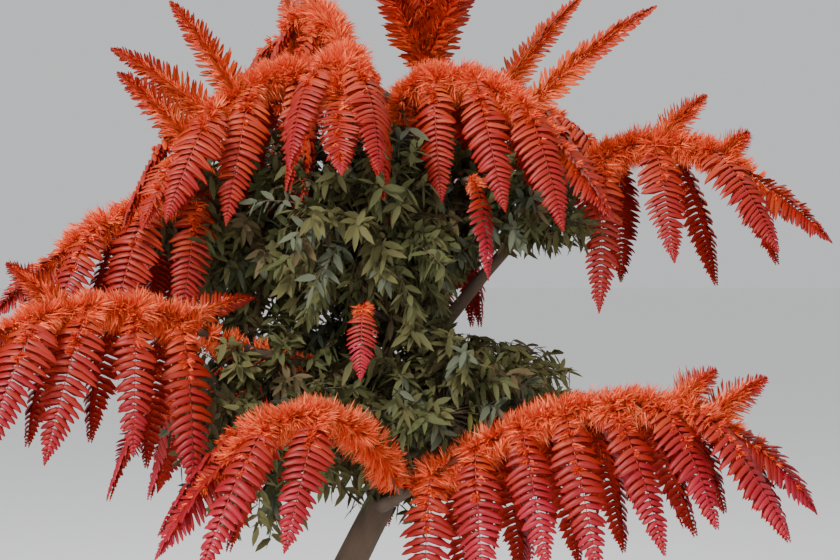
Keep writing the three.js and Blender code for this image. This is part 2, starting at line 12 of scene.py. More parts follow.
import bpy
import numpy as np
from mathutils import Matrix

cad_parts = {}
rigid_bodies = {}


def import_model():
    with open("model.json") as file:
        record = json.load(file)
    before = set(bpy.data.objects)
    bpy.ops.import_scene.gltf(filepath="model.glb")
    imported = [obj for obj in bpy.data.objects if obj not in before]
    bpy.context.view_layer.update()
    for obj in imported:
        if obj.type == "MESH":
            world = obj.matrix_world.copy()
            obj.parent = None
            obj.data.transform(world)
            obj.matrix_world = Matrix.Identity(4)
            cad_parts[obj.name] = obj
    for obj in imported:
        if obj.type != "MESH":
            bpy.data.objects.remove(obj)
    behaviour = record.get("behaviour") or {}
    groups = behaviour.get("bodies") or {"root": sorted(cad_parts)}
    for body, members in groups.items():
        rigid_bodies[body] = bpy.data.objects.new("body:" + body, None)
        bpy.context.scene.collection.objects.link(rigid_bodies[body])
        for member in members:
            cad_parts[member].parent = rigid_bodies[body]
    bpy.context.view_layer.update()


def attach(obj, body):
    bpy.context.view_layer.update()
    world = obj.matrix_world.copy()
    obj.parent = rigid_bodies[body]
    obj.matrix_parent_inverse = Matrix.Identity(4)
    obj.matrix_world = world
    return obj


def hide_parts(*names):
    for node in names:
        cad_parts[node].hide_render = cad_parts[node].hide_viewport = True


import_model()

# %% [markdown]
# ## The camera
# The photograph looks level at the middle of the crown from about four metres away. Its lower
# edge cuts the trunk at three quarters of a metre, so the foot and the floor show in other views.

# %% Place the camera
CAMERA_PLACE = (0.360, -4.0, 1.422)
PICTURE_WIDTH = 2.016
SENSOR_WIDTH = 36.0


def add_camera():
    """A level camera. Its lens makes PICTURE_WIDTH fill the frame in the plane of the trunk."""
    camera = bpy.data.cameras.new("camera")
    camera.sensor_width = SENSOR_WIDTH
    camera.lens = SENSOR_WIDTH * -CAMERA_PLACE[1] / PICTURE_WIDTH
    placed = bpy.data.objects.new("camera", camera)
    placed.location = CAMERA_PLACE
    placed.rotation_euler = (np.pi / 2, 0, 0)
    bpy.context.collection.objects.link(placed)
    bpy.context.scene.camera = placed
    print("lens", round(camera.lens, 1), "mm")


add_camera()

# %% [markdown]
# ## Chance and directions
# Nothing is left to unseeded chance, so the same tree grows every time. Directions are worked out
# for whole arrays together, which is why one line can turn ten thousand leaflets.

# %% Helpers for chance and directions
UP = np.array([0.0, 0.0, 1.0])
CHANCE_STEP, CHANCE_SCALE = 12.9898, 43758.5453


def chance(n):
    """A repeatable share from 0 to 1 for each number: the fraction of a large multiple of a sine."""
    value = np.sin(np.asarray(n, float) * CHANCE_STEP) * CHANCE_SCALE
    return value - np.floor(value)


def mix(ends, share):
    """A value between two ends."""
    return ends[0] + (ends[1] - ends[0]) * share


def unit(vectors):
    """Vectors with their length made 1."""
    return vectors / np.linalg.norm(vectors, axis=-1, keepdims=True)


def square_to(vectors, headings):
    """The part of each vector that is square to its heading, with its length made 1."""
    return unit(vectors - (vectors * headings).sum(-1, keepdims=True) * headings)


def level(angle):
    """Level directions by azimuth in radians."""
    angle = np.asarray(angle, float)
    return np.stack([np.cos(angle), np.sin(angle), np.zeros_like(angle)], -1)


def bearing(vectors):
    """The azimuth of each vector, in radians."""
    return np.arctan2(vectors[..., 1], vectors[..., 0])


def around(angle, first, second):
    """Directions turned from the first towards the second: cos(angle) first + sin(angle) second."""
    return np.cos(angle)[..., None] * first + np.sin(angle)[..., None] * second


def even_angles(count):
    """Angles in radians that go once round in even steps."""
    return np.linspace(0, 2 * np.pi, count, endpoint=False)


print("the first chances are", chance(np.arange(1, 4)).round(3))

# %% [markdown]
# ## Curves and frames
# Every limb and frond is a quadratic curve with three controls. A frame at a place on it has the
# heading, a direction to its side, and the way its outer face looks.

# %% Helpers for curves
def follow(controls, t):
    """Places and headings on quadratic curves: (1-t)^2 a + 2t(1-t) b + t^2 c, and its slope. t is
    one row for all curves, or a row for each."""
    a, b, c = (controls[..., i, :][..., None, :] for i in range(3))
    t = np.asarray(t, float)[..., None]
    places = (1 - t) ** 2 * a + 2 * t * (1 - t) * b + t ** 2 * c
    return places, unit((1 - t) * (b - a) + t * (c - b))


def frames_on(controls, across, t):
    """Places on curves, with the heading, side and face there, square to each other."""
    places, headings = follow(controls, t)
    side = square_to(across[:, None], headings)
    return places, headings, side, np.cross(headings, side)


def samples_of(controls, count):
    """Places on curves at even steps of t, from end to end."""
    return follow(controls, np.linspace(0, 1, count))[0]


def step_lengths(places):
    """The distance from each place to the next."""
    return np.linalg.norm(np.diff(places, axis=-2), axis=-1)


def even_shares(controls, shares, samples=65):
    """The t of each curve at given shares of its length, read off the lengths summed along it."""
    steps = step_lengths(samples_of(controls, samples))
    travelled = np.concatenate([np.zeros((len(steps), 1)), np.cumsum(steps, 1)], 1)
    travelled = travelled / travelled[:, -1:]
    return np.array([np.interp(shares, row, np.linspace(0, 1, samples)) for row in travelled])


corner_curve = np.array([[[0, 0, 0], [1, 0, 0], [1, 1, 0]]])
print("half the length of a corner's curve is at t =", even_shares(corner_curve, [0.5])[0].round(3))


# %% [markdown]
# ## The plan of the tree
# Each shoot is an arch: its root, the lift point that it bends towards and the tip of its last
# frond are given by azimuths in degrees, radii and heights round the crown's axis. Its bough leaves
# its parent limb at a share of that limb's length, and is stout or slim. Its risers, fronds that
# stand up, each have a share of the arch, a turn from its bearing and a pitch in degrees, and a
# length. These are the driving dimensions of the solids, written again in metres.

# %% The plan
CROWN_AXIS_X = 0.260
TRUNK_CONTROLS = np.array([[0, 0, 0], [0, 0, 0.430], [0.150, 0, 0.650], [0.341, 0, 1.038]])
LEADER_LIFT = (0, 0.095, 1.460)
LEADER_TOP = (0, 0.110, 1.890)


def planned(azimuth, radius, height, parent, at, stout, *risers, **extras):
    """One shoot of the plan, with any number of risers."""
    return dict(azimuth=azimuth, radius=radius, height=height, parent=parent, at=at, stout=stout,
                risers=risers, **extras)


SHOOTS = {
    "low_right": planned(
        (-65, -20), (0.200, 0.850, 1.030), (0.945, 1.387, 0.908), "trunk", 0.86, True,
        (0.58, 5, 42, 0.120), (0.67, -5, 36, 0.150), hang_from=0.02),
    "low_front": planned(
        (-77, -130), (0.207, 0.600, 0.700), (0.960, 1.360, 0.840), "trunk", 0.93, True, hang_from=0.35),
    "low_left": planned(
        (-150, -145), (0.470, 0.790, 1.107), (1.310, 1.450, 1.200), "leader", 0.16, True,
        (0.50, -30, 40, 0.160), hang_from=0.02, spur=0.200),
    "low_far_left": planned(
        (148, 142), (0.230, 0.610, 0.930), (1.090, 1.300, 0.900), "leader", 0.08, True,
        (0.45, 20, 40, 0.220)),
    "low_back_left": planned(
        (108, 104), (0.210, 0.600, 0.950), (1.070, 1.320, 0.900), "trunk", 0.97, True,
        (0.50, -15, 35, 0.200)),
    "low_back": planned(
        (70, 74), (0.210, 0.620, 0.960), (1.030, 1.300, 0.880), "trunk", 0.90, True,
        (0.40, 15, 45, 0.220)),
    "low_far_right": planned(
        (34, 30), (0.240, 0.640, 1.000), (1.030, 1.230, 0.850), "trunk", 0.95, True),
    "mid_left": planned(
        (-170, -161), (0.354, 0.617, 0.906), (1.635, 1.630, 1.335), "leader", 0.50, False),
    "mid_back_left": planned(
        (143, 150), (0.330, 0.640, 0.930), (1.590, 1.660, 1.290), "leader", 0.42, False,
        (0.45, -15, 40, 0.220)),
    "mid_back": planned(
        (60, 88), (0.330, 0.640, 0.930), (1.570, 1.720, 1.320), "leader", 0.36, False,
        (0.40, 15, 45, 0.240)),
    "mid_right": planned(
        (-7, -12), (0.510, 0.720, 1.057), (1.690, 1.850, 1.505), "leader", 0.22, True,
        (0.33, 10, 44, 0.160), (0.60, -5, 42, 0.090), hang_from=0.02),
    "top_left": planned(
        (-156, -142), (0.149, 0.439, 0.637), (1.915, 1.900, 1.530), "leader", 0.90, False,
        (0.42, -25, 54, 0.260), (0.56, -35, 34, 0.270), (0.68, -30, 42, 0.220)),
    "top_front": planned(
        (-115, -97), (0.122, 0.344, 0.520), (1.866, 2.040, 1.640), "leader", 0.82, False),
    "top_right": planned(
        (-48, -35), (0.120, 0.377, 0.638), (1.870, 1.960, 1.550), "leader", 0.74, False,
        (0.60, 20, 38, 0.370)),
    "top_back_right": planned(
        (20, 23), (0.160, 0.420, 0.700), (1.850, 1.980, 1.540), "leader", 0.86, False,
        (0.30, -22, 50, 0.330)),
    "top_back": planned(
        (72, 66), (0.140, 0.400, 0.670), (1.850, 2.000, 1.560), "leader", 0.78, False,
        (0.40, 15, 50, 0.260)),
    "top_back_left": planned(
        (130, 122), (0.120, 0.350, 0.620), (1.950, 2.360, 1.600), "leader", 0.70, False,
        (0.30, 15, 50, 0.260), (0.55, -15, 38, 0.240)),
}


def place(azimuth, radius, height):
    """A point by azimuth in degrees, radius and height round the crown's axis."""
    return np.array([CROWN_AXIS_X, 0, 0]) + radius * level(np.radians(azimuth)) + height * UP


def arch_of(shoot):
    """The three controls of a shoot's arch, its azimuth running evenly from root to tip."""
    first, last = shoot["azimuth"]
    azimuths = (first, (first + last) / 2, last)
    return np.array([place(*row) for row in zip(azimuths, shoot["radius"], shoot["height"])])


ARCHES = np.array([arch_of(shoot) for shoot in SHOOTS.values()])
ARCH_ACROSS = unit(np.cross(UP, ARCHES[:, 2] - ARCHES[:, 0]))
print(len(ARCHES), "shoots, reaching", round(float(ARCHES[:, 2, 0].max()), 3), "m to the right")

# %% [markdown]
# ## From arrays to meshes
# A piece is one mesh with one finish, whether it is the trunk or ten thousand leaflets. Writing
# whole arrays with foreach_set takes a blink, where joining thousands of objects takes minutes.

# %% Make a mesh from arrays
ROOT_BODY = "root"


def add_piece(name, points, faces, finish, nodes, slot):
    """One smooth mesh from points (n, 3) and triangles (m, 3). It stands for the named nodes."""
    mesh = bpy.data.meshes.new(name)
    mesh.vertices.add(len(points))
    mesh.vertices.foreach_set("co", np.ascontiguousarray(points, np.float32).ravel())
    mesh.loops.add(faces.size)
    mesh.loops.foreach_set("vertex_index", np.ascontiguousarray(faces, np.int32).ravel())
    mesh.polygons.add(len(faces))
    mesh.polygons.foreach_set("loop_start", np.arange(0, faces.size, 3, dtype=np.int32))
    mesh.polygons.foreach_set("use_smooth", np.ones(len(faces), bool))
    mesh.update(calc_edges=True)
    mesh.materials.append(finish)
    piece = bpy.data.objects.new(name, mesh)
    bpy.context.collection.objects.link(piece)
    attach(piece, ROOT_BODY)
    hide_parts(*nodes)
    print(name, "has", len(faces), "triangles")


def stack(parts):
    """Joins (points, triangles) pairs into one, with the triangles' numbers moved on."""
    points, faces, count = [], [], 0
    for part_points, part_faces in parts:
        points.append(part_points)
        faces.append(part_faces + count)
        count += len(part_points)
    return np.concatenate(points), np.concatenate(faces)


def copies_of(faces, count, stride):
    """The same triangles for each of count shapes whose points lie stride apart."""
    return (faces[None] + stride * np.arange(count)[:, None, None]).reshape(-1, 3)


print("a piece's mesh rides on the body", ROOT_BODY)

# %% [markdown]
# Limbs, stems and ribs are rings of points along a curve. Two triangles join each pair of
# neighbours on one ring to the pair on the next, and a fan closes each end.

# %% Rings and tubes
def grid_faces(rows, columns):
    """Triangles of a grid of rings that closes round its columns, with a fan over each end ring."""
    r, c = np.meshgrid(np.arange(rows - 1), np.arange(columns), indexing="ij")
    here, beside = r * columns + c, r * columns + (c + 1) % columns
    walls = np.stack([here, beside, beside + columns, here, beside + columns, here + columns], -1)
    fan = np.arange(1, columns - 1)
    foot = np.stack([np.zeros_like(fan), fan + 1, fan], -1)
    head = np.stack([np.zeros_like(fan), fan, fan + 1], -1) + (rows - 1) * columns
    return np.concatenate([walls.reshape(-1, 3), foot, head])


def tubes(controls, across, radii, rings, sides, end=1.0):
    """Round tubes on quadratic curves, each up to its own end: centre + radius (cos a side + sin a
    face), for every ring. radii holds each tube's radius at its start and end."""
    t = np.broadcast_to(end, len(controls))[:, None] * np.linspace(0, 1, rings)
    centres, headings, side, face = frames_on(controls, across, t)
    radius = mix(np.moveaxis(radii, -1, 0)[..., None], np.linspace(0, 1, rings))[..., None, None]
    ring = around(even_angles(sides), side[:, :, None], face[:, :, None])
    points = centres[:, :, None] + radius * ring
    return points.reshape(-1, 3), copies_of(grid_faces(rings, sides), len(controls), rings * sides)


print("a tube of 12 rings with 5 sides has", len(grid_faces(12, 5)), "triangles")


# %% [markdown]
# ## Finishes
# A small class wraps a socket, so that shader maths reads as Python: mask * 0.3 + 0.7 adds the
# Math nodes. One method makes every other node. Leaves get plain colours, dealt out by spray,
# because a colour that has a place in the crown must not slide when the model is exported.

# %% Shader helpers
class Wire:
    """A socket of a finish, with arithmetic that adds Math nodes."""

    def __init__(self, finish, socket):
        self.finish = finish
        self.socket = socket

    def math(self, operation, first, second):
        """One Math node, fed by two sockets or numbers."""
        return self.finish.node("ShaderNodeMath", {"operation": operation}, {0: first, 1: second})

    def __add__(self, other):
        return self.math("ADD", self, other)

    def __radd__(self, other):
        return self.math("ADD", other, self)

    def __mul__(self, other):
        return self.math("MULTIPLY", self, other)

    def __rmul__(self, other):
        return self.math("MULTIPLY", other, self)

    def __rsub__(self, other):
        return self.math("SUBTRACT", other, self)


class Finish:
    """A material whose nodes are added one by one, ending in a Principled shader."""

    def __init__(self, name):
        self.material = bpy.data.materials.new(name)
        self.material.use_nodes = True
        self.tree = self.material.node_tree
        self.shader = self.tree.nodes["Principled BSDF"]

    def node(self, kind, settings, sockets, output=0):
        """One output of a new node: its settings go first, then the values or links of its sockets."""
        made = self.tree.nodes.new(kind)
        for name, value in settings.items():
            setattr(made, name, value)
        self.fill(made, sockets)
        return Wire(self, made.outputs[output])

    def fill(self, made, sockets):
        """Sets or links the sockets of a node."""
        for name, value in sockets.items():
            if isinstance(value, Wire):
                self.tree.links.new(value.socket, made.inputs[name])
            else:
                made.inputs[name].default_value = value

    def ends_in(self, **sockets):
        """Fills the Principled shader's sockets, by their names with underscores for spaces."""
        self.fill(self.shader, {name.replace("_", " "): value for name, value in sockets.items()})
        return self.material


print("a number may stand first in", [name for name in vars(Wire) if name.startswith("__r")])

# %% [markdown]
# Colours are written down as they look on screen, which is easy to compare with the real tree.
# Shaders want linear light, so every colour goes through one conversion.

# %% Plain finishes
def plain_finish(name, colour, roughness, gloss=0.3):
    """One colour all over, with a soft gloss."""
    return Finish(name).ends_in(Base_Color=colour, Roughness=roughness, Specular_IOR_Level=gloss)


def linear(red, green, blue):
    """A colour given as it looks on screen, 0 to 255, as the linear light that shaders use."""
    share = np.array([red, green, blue]) / 255
    light = np.where(share <= 0.04045, share / 12.92, ((share + 0.055) / 1.055) ** 2.4)
    return (*map(float, light), 1.0)


print("a middle grey on screen is", round(linear(128, 128, 128)[0], 3), "in linear light")


# %% [markdown]
# ## Bark
# The bark of this tree is brown and fairly smooth, with shallow furrows along the limb and small
# raised pores. The furrows are real relief in the mesh, further on. The finish only adds the
# blotches and the finest grain, with a bump that reads the same noise. Its two browns are partly
# the bark's own and partly painted shade, darker for the shade of the crown above the trunk.

# %% Bark finish
# Both browns are the bark's own colour, darkened by painted shade for the crown above the trunk.
SHADED_BARK_DARK, SHADED_BARK_LIGHT = linear(50, 38, 28), linear(98, 78, 61)
BARK_STRETCH = (1, 1, 0.3)
BLOTCH_NOISE = {"Scale": 24, "Detail": 4}
GRAIN_NOISE = {"Scale": 420, "Detail": 3}
BUMP_SHARES = (0.6, 0.4)


def bark_finish():
    """Two browns mixed by a stretched noise, which also drives a fine bump."""
    finish = Finish("bark")
    place_on = finish.node("ShaderNodeTexCoord", {}, {}, "Object")
    stretch = finish.node("ShaderNodeMapping", {}, {"Vector": place_on, "Scale": BARK_STRETCH})
    blotch = finish.node("ShaderNodeTexNoise", {}, {"Vector": stretch, **BLOTCH_NOISE})
    grain = finish.node("ShaderNodeTexNoise", {}, {"Vector": stretch, **GRAIN_NOISE})
    browns = {0: blotch, 6: SHADED_BARK_DARK, 7: SHADED_BARK_LIGHT}
    brown = finish.node("ShaderNodeMix", {"data_type": "RGBA"}, browns, 2)
    height = blotch * BUMP_SHARES[0] + grain * BUMP_SHARES[1]
    bump = finish.node("ShaderNodeBump", {}, {"Strength": 0.5, "Distance": 0.002, "Height": height})
    return finish.ends_in(Base_Color=brown, Roughness=0.86, Normal=bump)


BARK = bark_finish()
print("the bark has", len(BARK.node_tree.nodes), "shader nodes")

# %% [markdown]
# ## Trunk, leader and boughs
# The trunk is cut flat at the ground, flares into five soft lobes and tapers to the fork. One
# function makes every limb: rings of points round its curve, pushed in and out by furrows that
# follow the limb and by a few pores. Relief in the mesh keeps its shape in every light.

# %% Limb relief
FURROW_DEPTH, FURROW_WIDTH, FURROW_SHARPNESS = 0.0016, 0.011, 1.6
FURROW_WANDER, FURROW_WANDER_LENGTH = 1.4, 0.09
PORE_HEIGHT, PORE_WIDTH, PORE_LENGTH, PORE_RARITY = 0.0009, 0.006, 0.012, 8
FULL_RELIEF_RADIUS, LEAST_RELIEF = 0.03, 0.25
CELL_STEPS = (1.7, 57.3)


def soft_noise(x, y, seed):
    """Smooth noise from 0 to 1: chances at whole places, blended between them by 3f^2 - 2f^3."""
    column, row = np.floor(x), np.floor(y)
    across, along = x - column, y - row
    across, along = across ** 2 * (3 - 2 * across), along ** 2 * (3 - 2 * along)
    corner = [[chance(seed + (column + i) * CELL_STEPS[0] + (row + j) * CELL_STEPS[1]) for i in (0, 1)]
              for j in (0, 1)]
    return mix((mix(corner[0], across), mix(corner[1], across)), along)


def bark_relief(angle, distance, radius, seed):
    """How far the bark stands out: long furrows round the limb, plus small pores here and there."""
    turns = np.maximum(3, np.round(2 * np.pi * radius / FURROW_WIDTH))
    wander = FURROW_WANDER * soft_noise(angle * 2 / np.pi, distance / FURROW_WANDER_LENGTH, seed)
    furrow = np.abs(np.sin(0.5 * (turns * angle + 2 * np.pi * wander)))
    pore = soft_noise(angle * radius / PORE_WIDTH, distance / PORE_LENGTH, seed + 5) ** PORE_RARITY
    slim = np.clip(radius / FULL_RELIEF_RADIUS, LEAST_RELIEF, 1)
    return -FURROW_DEPTH * slim * (1 - furrow) ** FURROW_SHARPNESS + PORE_HEIGHT * pore


print("furrows are up to", 1000 * FURROW_DEPTH, "mm deep and pores", 1000 * PORE_HEIGHT, "mm high")


# %% [markdown]
# A limb's length along its curve is measured first, so that furrows have one width on all limbs.

# %% Make the limbs
FLARE_REACH, FLARE_HEIGHT, FLARE_LOBES, FLARE_LOBE_DEPTH = 0.040, 0.080, 5, 0.3
TRUNK_RADII, LEADER_RADII = (0.050, 0.033), (0.027, 0.013)
BOUGH_RADII = {True: (0.017, 0.010), False: (0.012, 0.009)}
SPRAY_TWIG_RADII = (0.008, 0.006)
COLLAR_REACH, COLLAR_SWELL = 0.05, 0.45
TRUNK_SEED, LEADER_SEED, BOUGH_SEED, SPRAY_TWIG_SEED = 1, 2, 3, 40


def cubic(controls, t):
    """Places and headings on a cubic curve with four controls."""
    t = t[:, None]
    a, b, c, d = controls
    places = (1 - t) ** 3 * a + 3 * t * (1 - t) ** 2 * b + 3 * t ** 2 * (1 - t) * c + t ** 3 * d
    slope = (1 - t) ** 2 * (b - a) + 2 * t * (1 - t) * (c - b) + t ** 2 * (d - c)
    return places, unit(slope)


def limb_mesh(centres, headings, across, radius, sides, seed):
    """Rings round a path: centre + (radius + relief) (cos a side + sin a face). radius has a row for
    each ring and a column for each side."""
    side = square_to(across, headings)
    face = np.cross(headings, side)
    distance = np.concatenate([[0], np.cumsum(step_lengths(centres))])[:, None]
    angle = even_angles(sides)[None]
    out = radius + bark_relief(angle, distance, radius.mean(), seed)
    points = centres[:, None] + out[..., None] * around(angle, side[:, None], face[:, None])
    return points.reshape(-1, 3), grid_faces(len(centres), sides)


def trunk_mesh(rings=180, sides=72):
    """The trunk: an even taper plus a lobed flare that fades with height."""
    t = np.linspace(0, 1, rings)
    centres, headings = cubic(TRUNK_CONTROLS, t)
    lobe = 1 + FLARE_LOBE_DEPTH * np.cos(FLARE_LOBES * even_angles(sides)[None])
    flare = FLARE_REACH * np.exp(-centres[:, 2:] / FLARE_HEIGHT) * lobe
    radius = mix(TRUNK_RADII, t)[:, None] + flare
    return limb_mesh(centres, headings, level(np.pi / 2), radius, sides, TRUNK_SEED)


def bough_mesh(controls, across, radii, seed, rings=42, sides=18):
    """A bough: an even taper with a collar that swells where it leaves its parent limb."""
    t = np.linspace(0, 1, rings)
    centres, headings = follow(controls, t)
    length = np.linalg.norm(controls[2] - controls[0])
    collar = 1 + COLLAR_SWELL * np.exp(-t * length / COLLAR_REACH)
    radius = np.broadcast_to((mix(radii, t) * collar)[:, None], (rings, sides))
    return limb_mesh(centres, headings, across, radius, sides, seed)


print("the trunk is", round(TRUNK_RADII[0] + FLARE_REACH, 3), "m in radius at the ground")

# %% [markdown]
# A bough starts on its parent's curve and arrives at its shoot's root in the arch's own heading,
# so that bark runs on into the shoot with no corner. Two small sprays inside the crown have twigs
# of their own.

# %% Where the boughs run
BOUGH_LEAD_IN = 0.35
FORK = cubic(TRUNK_CONTROLS, np.array([1.0]))[0][0]
LEADER = np.array([FORK, place(*LEADER_LIFT), place(*LEADER_TOP)])
SPRAYS = {
    "inner_right": dict(azimuth=-47, radius=0.310, height=1.650, fall=0.230, parent="mid_right",
                        at=0.72),
    "inner_front": dict(azimuth=-95, radius=0.290, height=1.360, fall=0.160, parent="leader",
                        at=0.30),
}
SPRAY_OUT = (0.045, 0.060)
BOUGHS = {}


def bough_controls(parent_place, root, heading):
    """From the parent's curve, by a point short of the root on its heading, to the root."""
    lead_in = BOUGH_LEAD_IN * np.linalg.norm(root - parent_place)
    return np.array([parent_place, root - lead_in * heading, root])


def place_on_parent(name, at):
    """The point on the trunk, the leader or a bough at a share of its length."""
    if name == "trunk":
        return cubic(TRUNK_CONTROLS, np.array([at]))[0][0]
    return follow(BOUGHS.get(name, LEADER), [at])[0][0]


def spray_controls(spray):
    """A small spray's arch: out a little from its root, then down."""
    root = place(spray["azimuth"], spray["radius"], spray["height"])
    out = level(np.radians(spray["azimuth"]))
    return np.array([root, root + SPRAY_OUT[0] * out, root + SPRAY_OUT[1] * out - spray["fall"] * UP])


arch_roots, arch_headings = follow(ARCHES, [0.0])
for number, (name, shoot) in enumerate(SHOOTS.items()):
    start = place_on_parent(shoot["parent"], shoot["at"])
    BOUGHS[name] = bough_controls(start, arch_roots[number, 0], arch_headings[number, 0])
print("the trunk forks at", FORK.round(3), "and carries", len(BOUGHS), "boughs")

# %% [markdown]
# All limbs share one bark, so they become one piece.

# %% Join the limbs into one piece
LIMB_NODES = ["trunk", "leader"]
LIMB_NODES += [f"{name}_bough" for name in SHOOTS]
LIMB_NODES += [f"{name}_twig" for name in SPRAYS]


def all_limbs():
    """Points and triangles of trunk, leader, boughs and the small sprays' twigs, one after another."""
    yield trunk_mesh()
    yield bough_mesh(LEADER, level(np.pi / 2), LEADER_RADII, LEADER_SEED, rings=110, sides=36)
    for number, (name, shoot) in enumerate(SHOOTS.items()):
        yield bough_mesh(BOUGHS[name], ARCH_ACROSS[number], BOUGH_RADII[shoot["stout"]],
                         BOUGH_SEED + number)
    for number, spray in enumerate(SPRAYS.values()):
        arch = spray_controls(spray)
        start = place_on_parent(spray["parent"], spray["at"])
        controls = bough_controls(start, arch[0], unit(arch[1] - arch[0]))
        across = level(np.radians(spray["azimuth"] + 90))
        yield bough_mesh(controls, across, SPRAY_TWIG_RADII, SPRAY_TWIG_SEED + number, sides=16)


add_piece("limbs", *stack(all_limbs()), BARK, LIMB_NODES, "bark")

# %% [markdown]
# ## Pointed blades
# Leaflets, bristles and grey-green leaves are one shape in different proportions: a pointed
# blade, a little raised along its midline, bent down towards its tip. It has three points across
# at a few stations and one at the tip, so that thousands of them stay light. Blades of one kind
# are kept as flat arrays, one row a blade: root, along, normal, length and more.

# %% Blades
def blades(rows, half_width, stations, outline, camber, sag):
    """Pointed blades. At a share s of its length a blade's middle is root + s length along, lowered by
    sag length s^2, and its edges stand half_width outline(s) to each side of it."""
    s = np.asarray(stations, float)[None, :, None]
    roots, along = rows["root"], rows["along"]
    normal = square_to(rows["normal"], along)
    wide = np.cross(normal, along)
    length, half = rows["length"][:, None, None], half_width[:, None, None] * outline(s)

    def middle(share):
        return roots[:, None] + length * (share * along[:, None] - share ** 2 * sag[:, None])

    centre = middle(s)
    edge = half * wide[:, None]
    crosswise = np.stack([centre - edge, centre + camber * half * normal[:, None], centre + edge], 2)
    count = len(roots)
    points = np.concatenate([crosswise.reshape(count, -1, 3), middle(np.ones((1, 1, 1)))], 1)
    return points.reshape(-1, 3), copies_of(blade_faces(len(stations)), count, points.shape[1])


def blade_faces(stations):
    """Triangles of one blade: strips between its stations, then two to its tip."""
    r, c = np.meshgrid(np.arange(stations - 1), [0, 1], indexing="ij")
    here = 3 * r + c
    strips = np.stack([here, here + 3, here + 4, here, here + 4, here + 1], -1).reshape(-1, 3)
    last, tip = 3 * (stations - 1), 3 * stations
    return np.concatenate([strips, [[last, tip, last + 1], [last + 1, tip, last + 2]]])


def leaflet_outline(s):
    """Half width of a leaflet: soon full, then much the same to a rounded tip."""
    return np.minimum(1, 0.55 + 3.5 * s) * (1 - s ** 6) ** 0.7


def bristle_outline(s):
    """Half width of a bristle: an even taper from its root."""
    return 1 - s


def leaf_outline(s):
    """Half width of a grey-green leaf: pointed at both ends."""
    return np.sin(np.pi * s ** 0.8) ** 0.8 + 0.04


print("a leaflet with five stations has", len(blade_faces(5)), "triangles")

# %% [markdown]
# Blades of one kind stay together in flat arrays until they are dealt out by tint. Each tint is
# then one mesh with one plain finish.

# %% Sort blades by tint
def flat(rows):
    """Arrays of (curves, blades on each) made into flat ones, one row a blade."""
    return {key: values.reshape(-1, *values.shape[2:]) for key, values in rows.items()}


def joined(row_sets):
    """Joins sets of flat arrays into one."""
    return {key: np.concatenate([rows[key] for rows in row_sets]) for key in row_sets[0]}


def picked(rows, chosen):
    """The chosen rows of flat arrays."""
    return {key: values[chosen] for key, values in rows.items()}


def add_tinted(kind, finish_kind, rows, tint_numbers, tints, shapes, gloss, nodes, slot):
    """A piece and a plain finish for each tint, from the blades that are dealt to it. gloss holds the
    roughness and the specular level."""
    for number, (tint, colour) in enumerate(tints.items()):
        finish = plain_finish(f"{finish_kind}_{tint}", colour, *gloss)
        points, faces = shapes(picked(rows, tint_numbers == number))
        add_piece(f"{kind}_{tint}", points, faces, finish, nodes, slot)


print("four blades on each of two curves make", len(flat(dict(t=np.zeros((2, 4))))["t"]), "rows")


# %% [markdown]
# ## Fronds
# A hanging frond leaves its shoot sideways and forward, then falls. Fronds hang two by two along
# the arch, to its right and left by turns, and get shorter towards its tip.

# %% The lines of the hanging fronds
SHOOT_SHARE = 0.70
PAIRS_APART = 0.104
PAIR_PLACES = (0.28, 0.38)
HANG_FROM = 0.09
FROND_OUT = (0.095, 0.150)
FROND_FALL, FROND_FALL_VARIES = (0.375, 0.255), (0.82, 1.08)
FROND_SPLAY, FROND_SPLAY_VARIES = (80, 38), 16
FROND_LEAN, FROND_LEAN_VARIES = (-0.009, 0.126), 0.060
FROND_BEND_OUT, FROND_BEND_UP = 0.85, 0.022
LAST_FROND_OVERLAP, LAST_FROND_BEND = 0.04, 0.150


def hanging_places(arch, hang_from):
    """The shares of an arch where fronds hang, two by two: as many pairs as its hung length has room
    for. The second of a pair is a little further along."""
    span = (hang_from, SHOOT_SHARE - LAST_FROND_OVERLAP)
    hung_length = step_lengths(follow(arch, np.linspace(*span, 17))[0]).sum()
    pairs = int(round(hung_length / PAIRS_APART))
    k = np.arange(2 * pairs)
    return mix(span, (k // 2 + mix(PAIR_PLACES, k % 2)) / pairs)


def hanging_lines(number, arch, hang_from):
    """Controls of one shoot's hanging fronds, right and left by turns, and the side across each."""
    t = hanging_places(arch, hang_from)
    k = np.arange(len(t))
    seed = 100 * number + 10 * k / 3.1
    roots, headings = follow(arch, t)
    forward = bearing(headings)
    side = np.where((k + number) % 2 == 0, -1, 1)
    splay = mix(FROND_SPLAY, t / SHOOT_SHARE) + FROND_SPLAY_VARIES * (chance(seed) - 0.5)
    facing = forward + side * np.radians(splay)
    reach = mix(FROND_OUT, t / SHOOT_SHARE)[:, None]
    bend = roots + FROND_BEND_OUT * reach * level(facing) + FROND_BEND_UP * UP
    lean = (mix(FROND_LEAN, t / SHOOT_SHARE) + FROND_LEAN_VARIES * (chance(seed + 5) - 0.5))[:, None]
    fall = (mix(FROND_FALL, t / SHOOT_SHARE) * mix(FROND_FALL_VARIES, chance(seed + 3)))[:, None]
    tips = roots + reach * level(facing) + lean * level(forward) - fall * UP
    return np.stack([roots, bend, tips], 1), level(facing + np.pi / 2)


print(len(hanging_places(ARCHES[0], HANG_FROM)), "fronds would hang on the first arch")

# %% [markdown]
# The last frond carries the arch on to its tip. Risers stand up and out from the arch. The left
# low shoot also has a spur, a short spike that points back along its bough.

# %% The lines of the other fronds
RISER_BOW = 0.1
SPUR_FROM, SPUR_PITCH = 0.06, 16


def last_line(number, arch):
    """Controls of a shoot's last frond, which carries the arch on to its tip."""
    places, headings = follow(arch, [SHOOT_SHARE - LAST_FROND_OVERLAP, SHOOT_SHARE, 1.0])
    bend = places[1] + LAST_FROND_BEND * headings[1]
    return np.array([[places[0], bend, places[2]]]), ARCH_ACROSS[number][None]


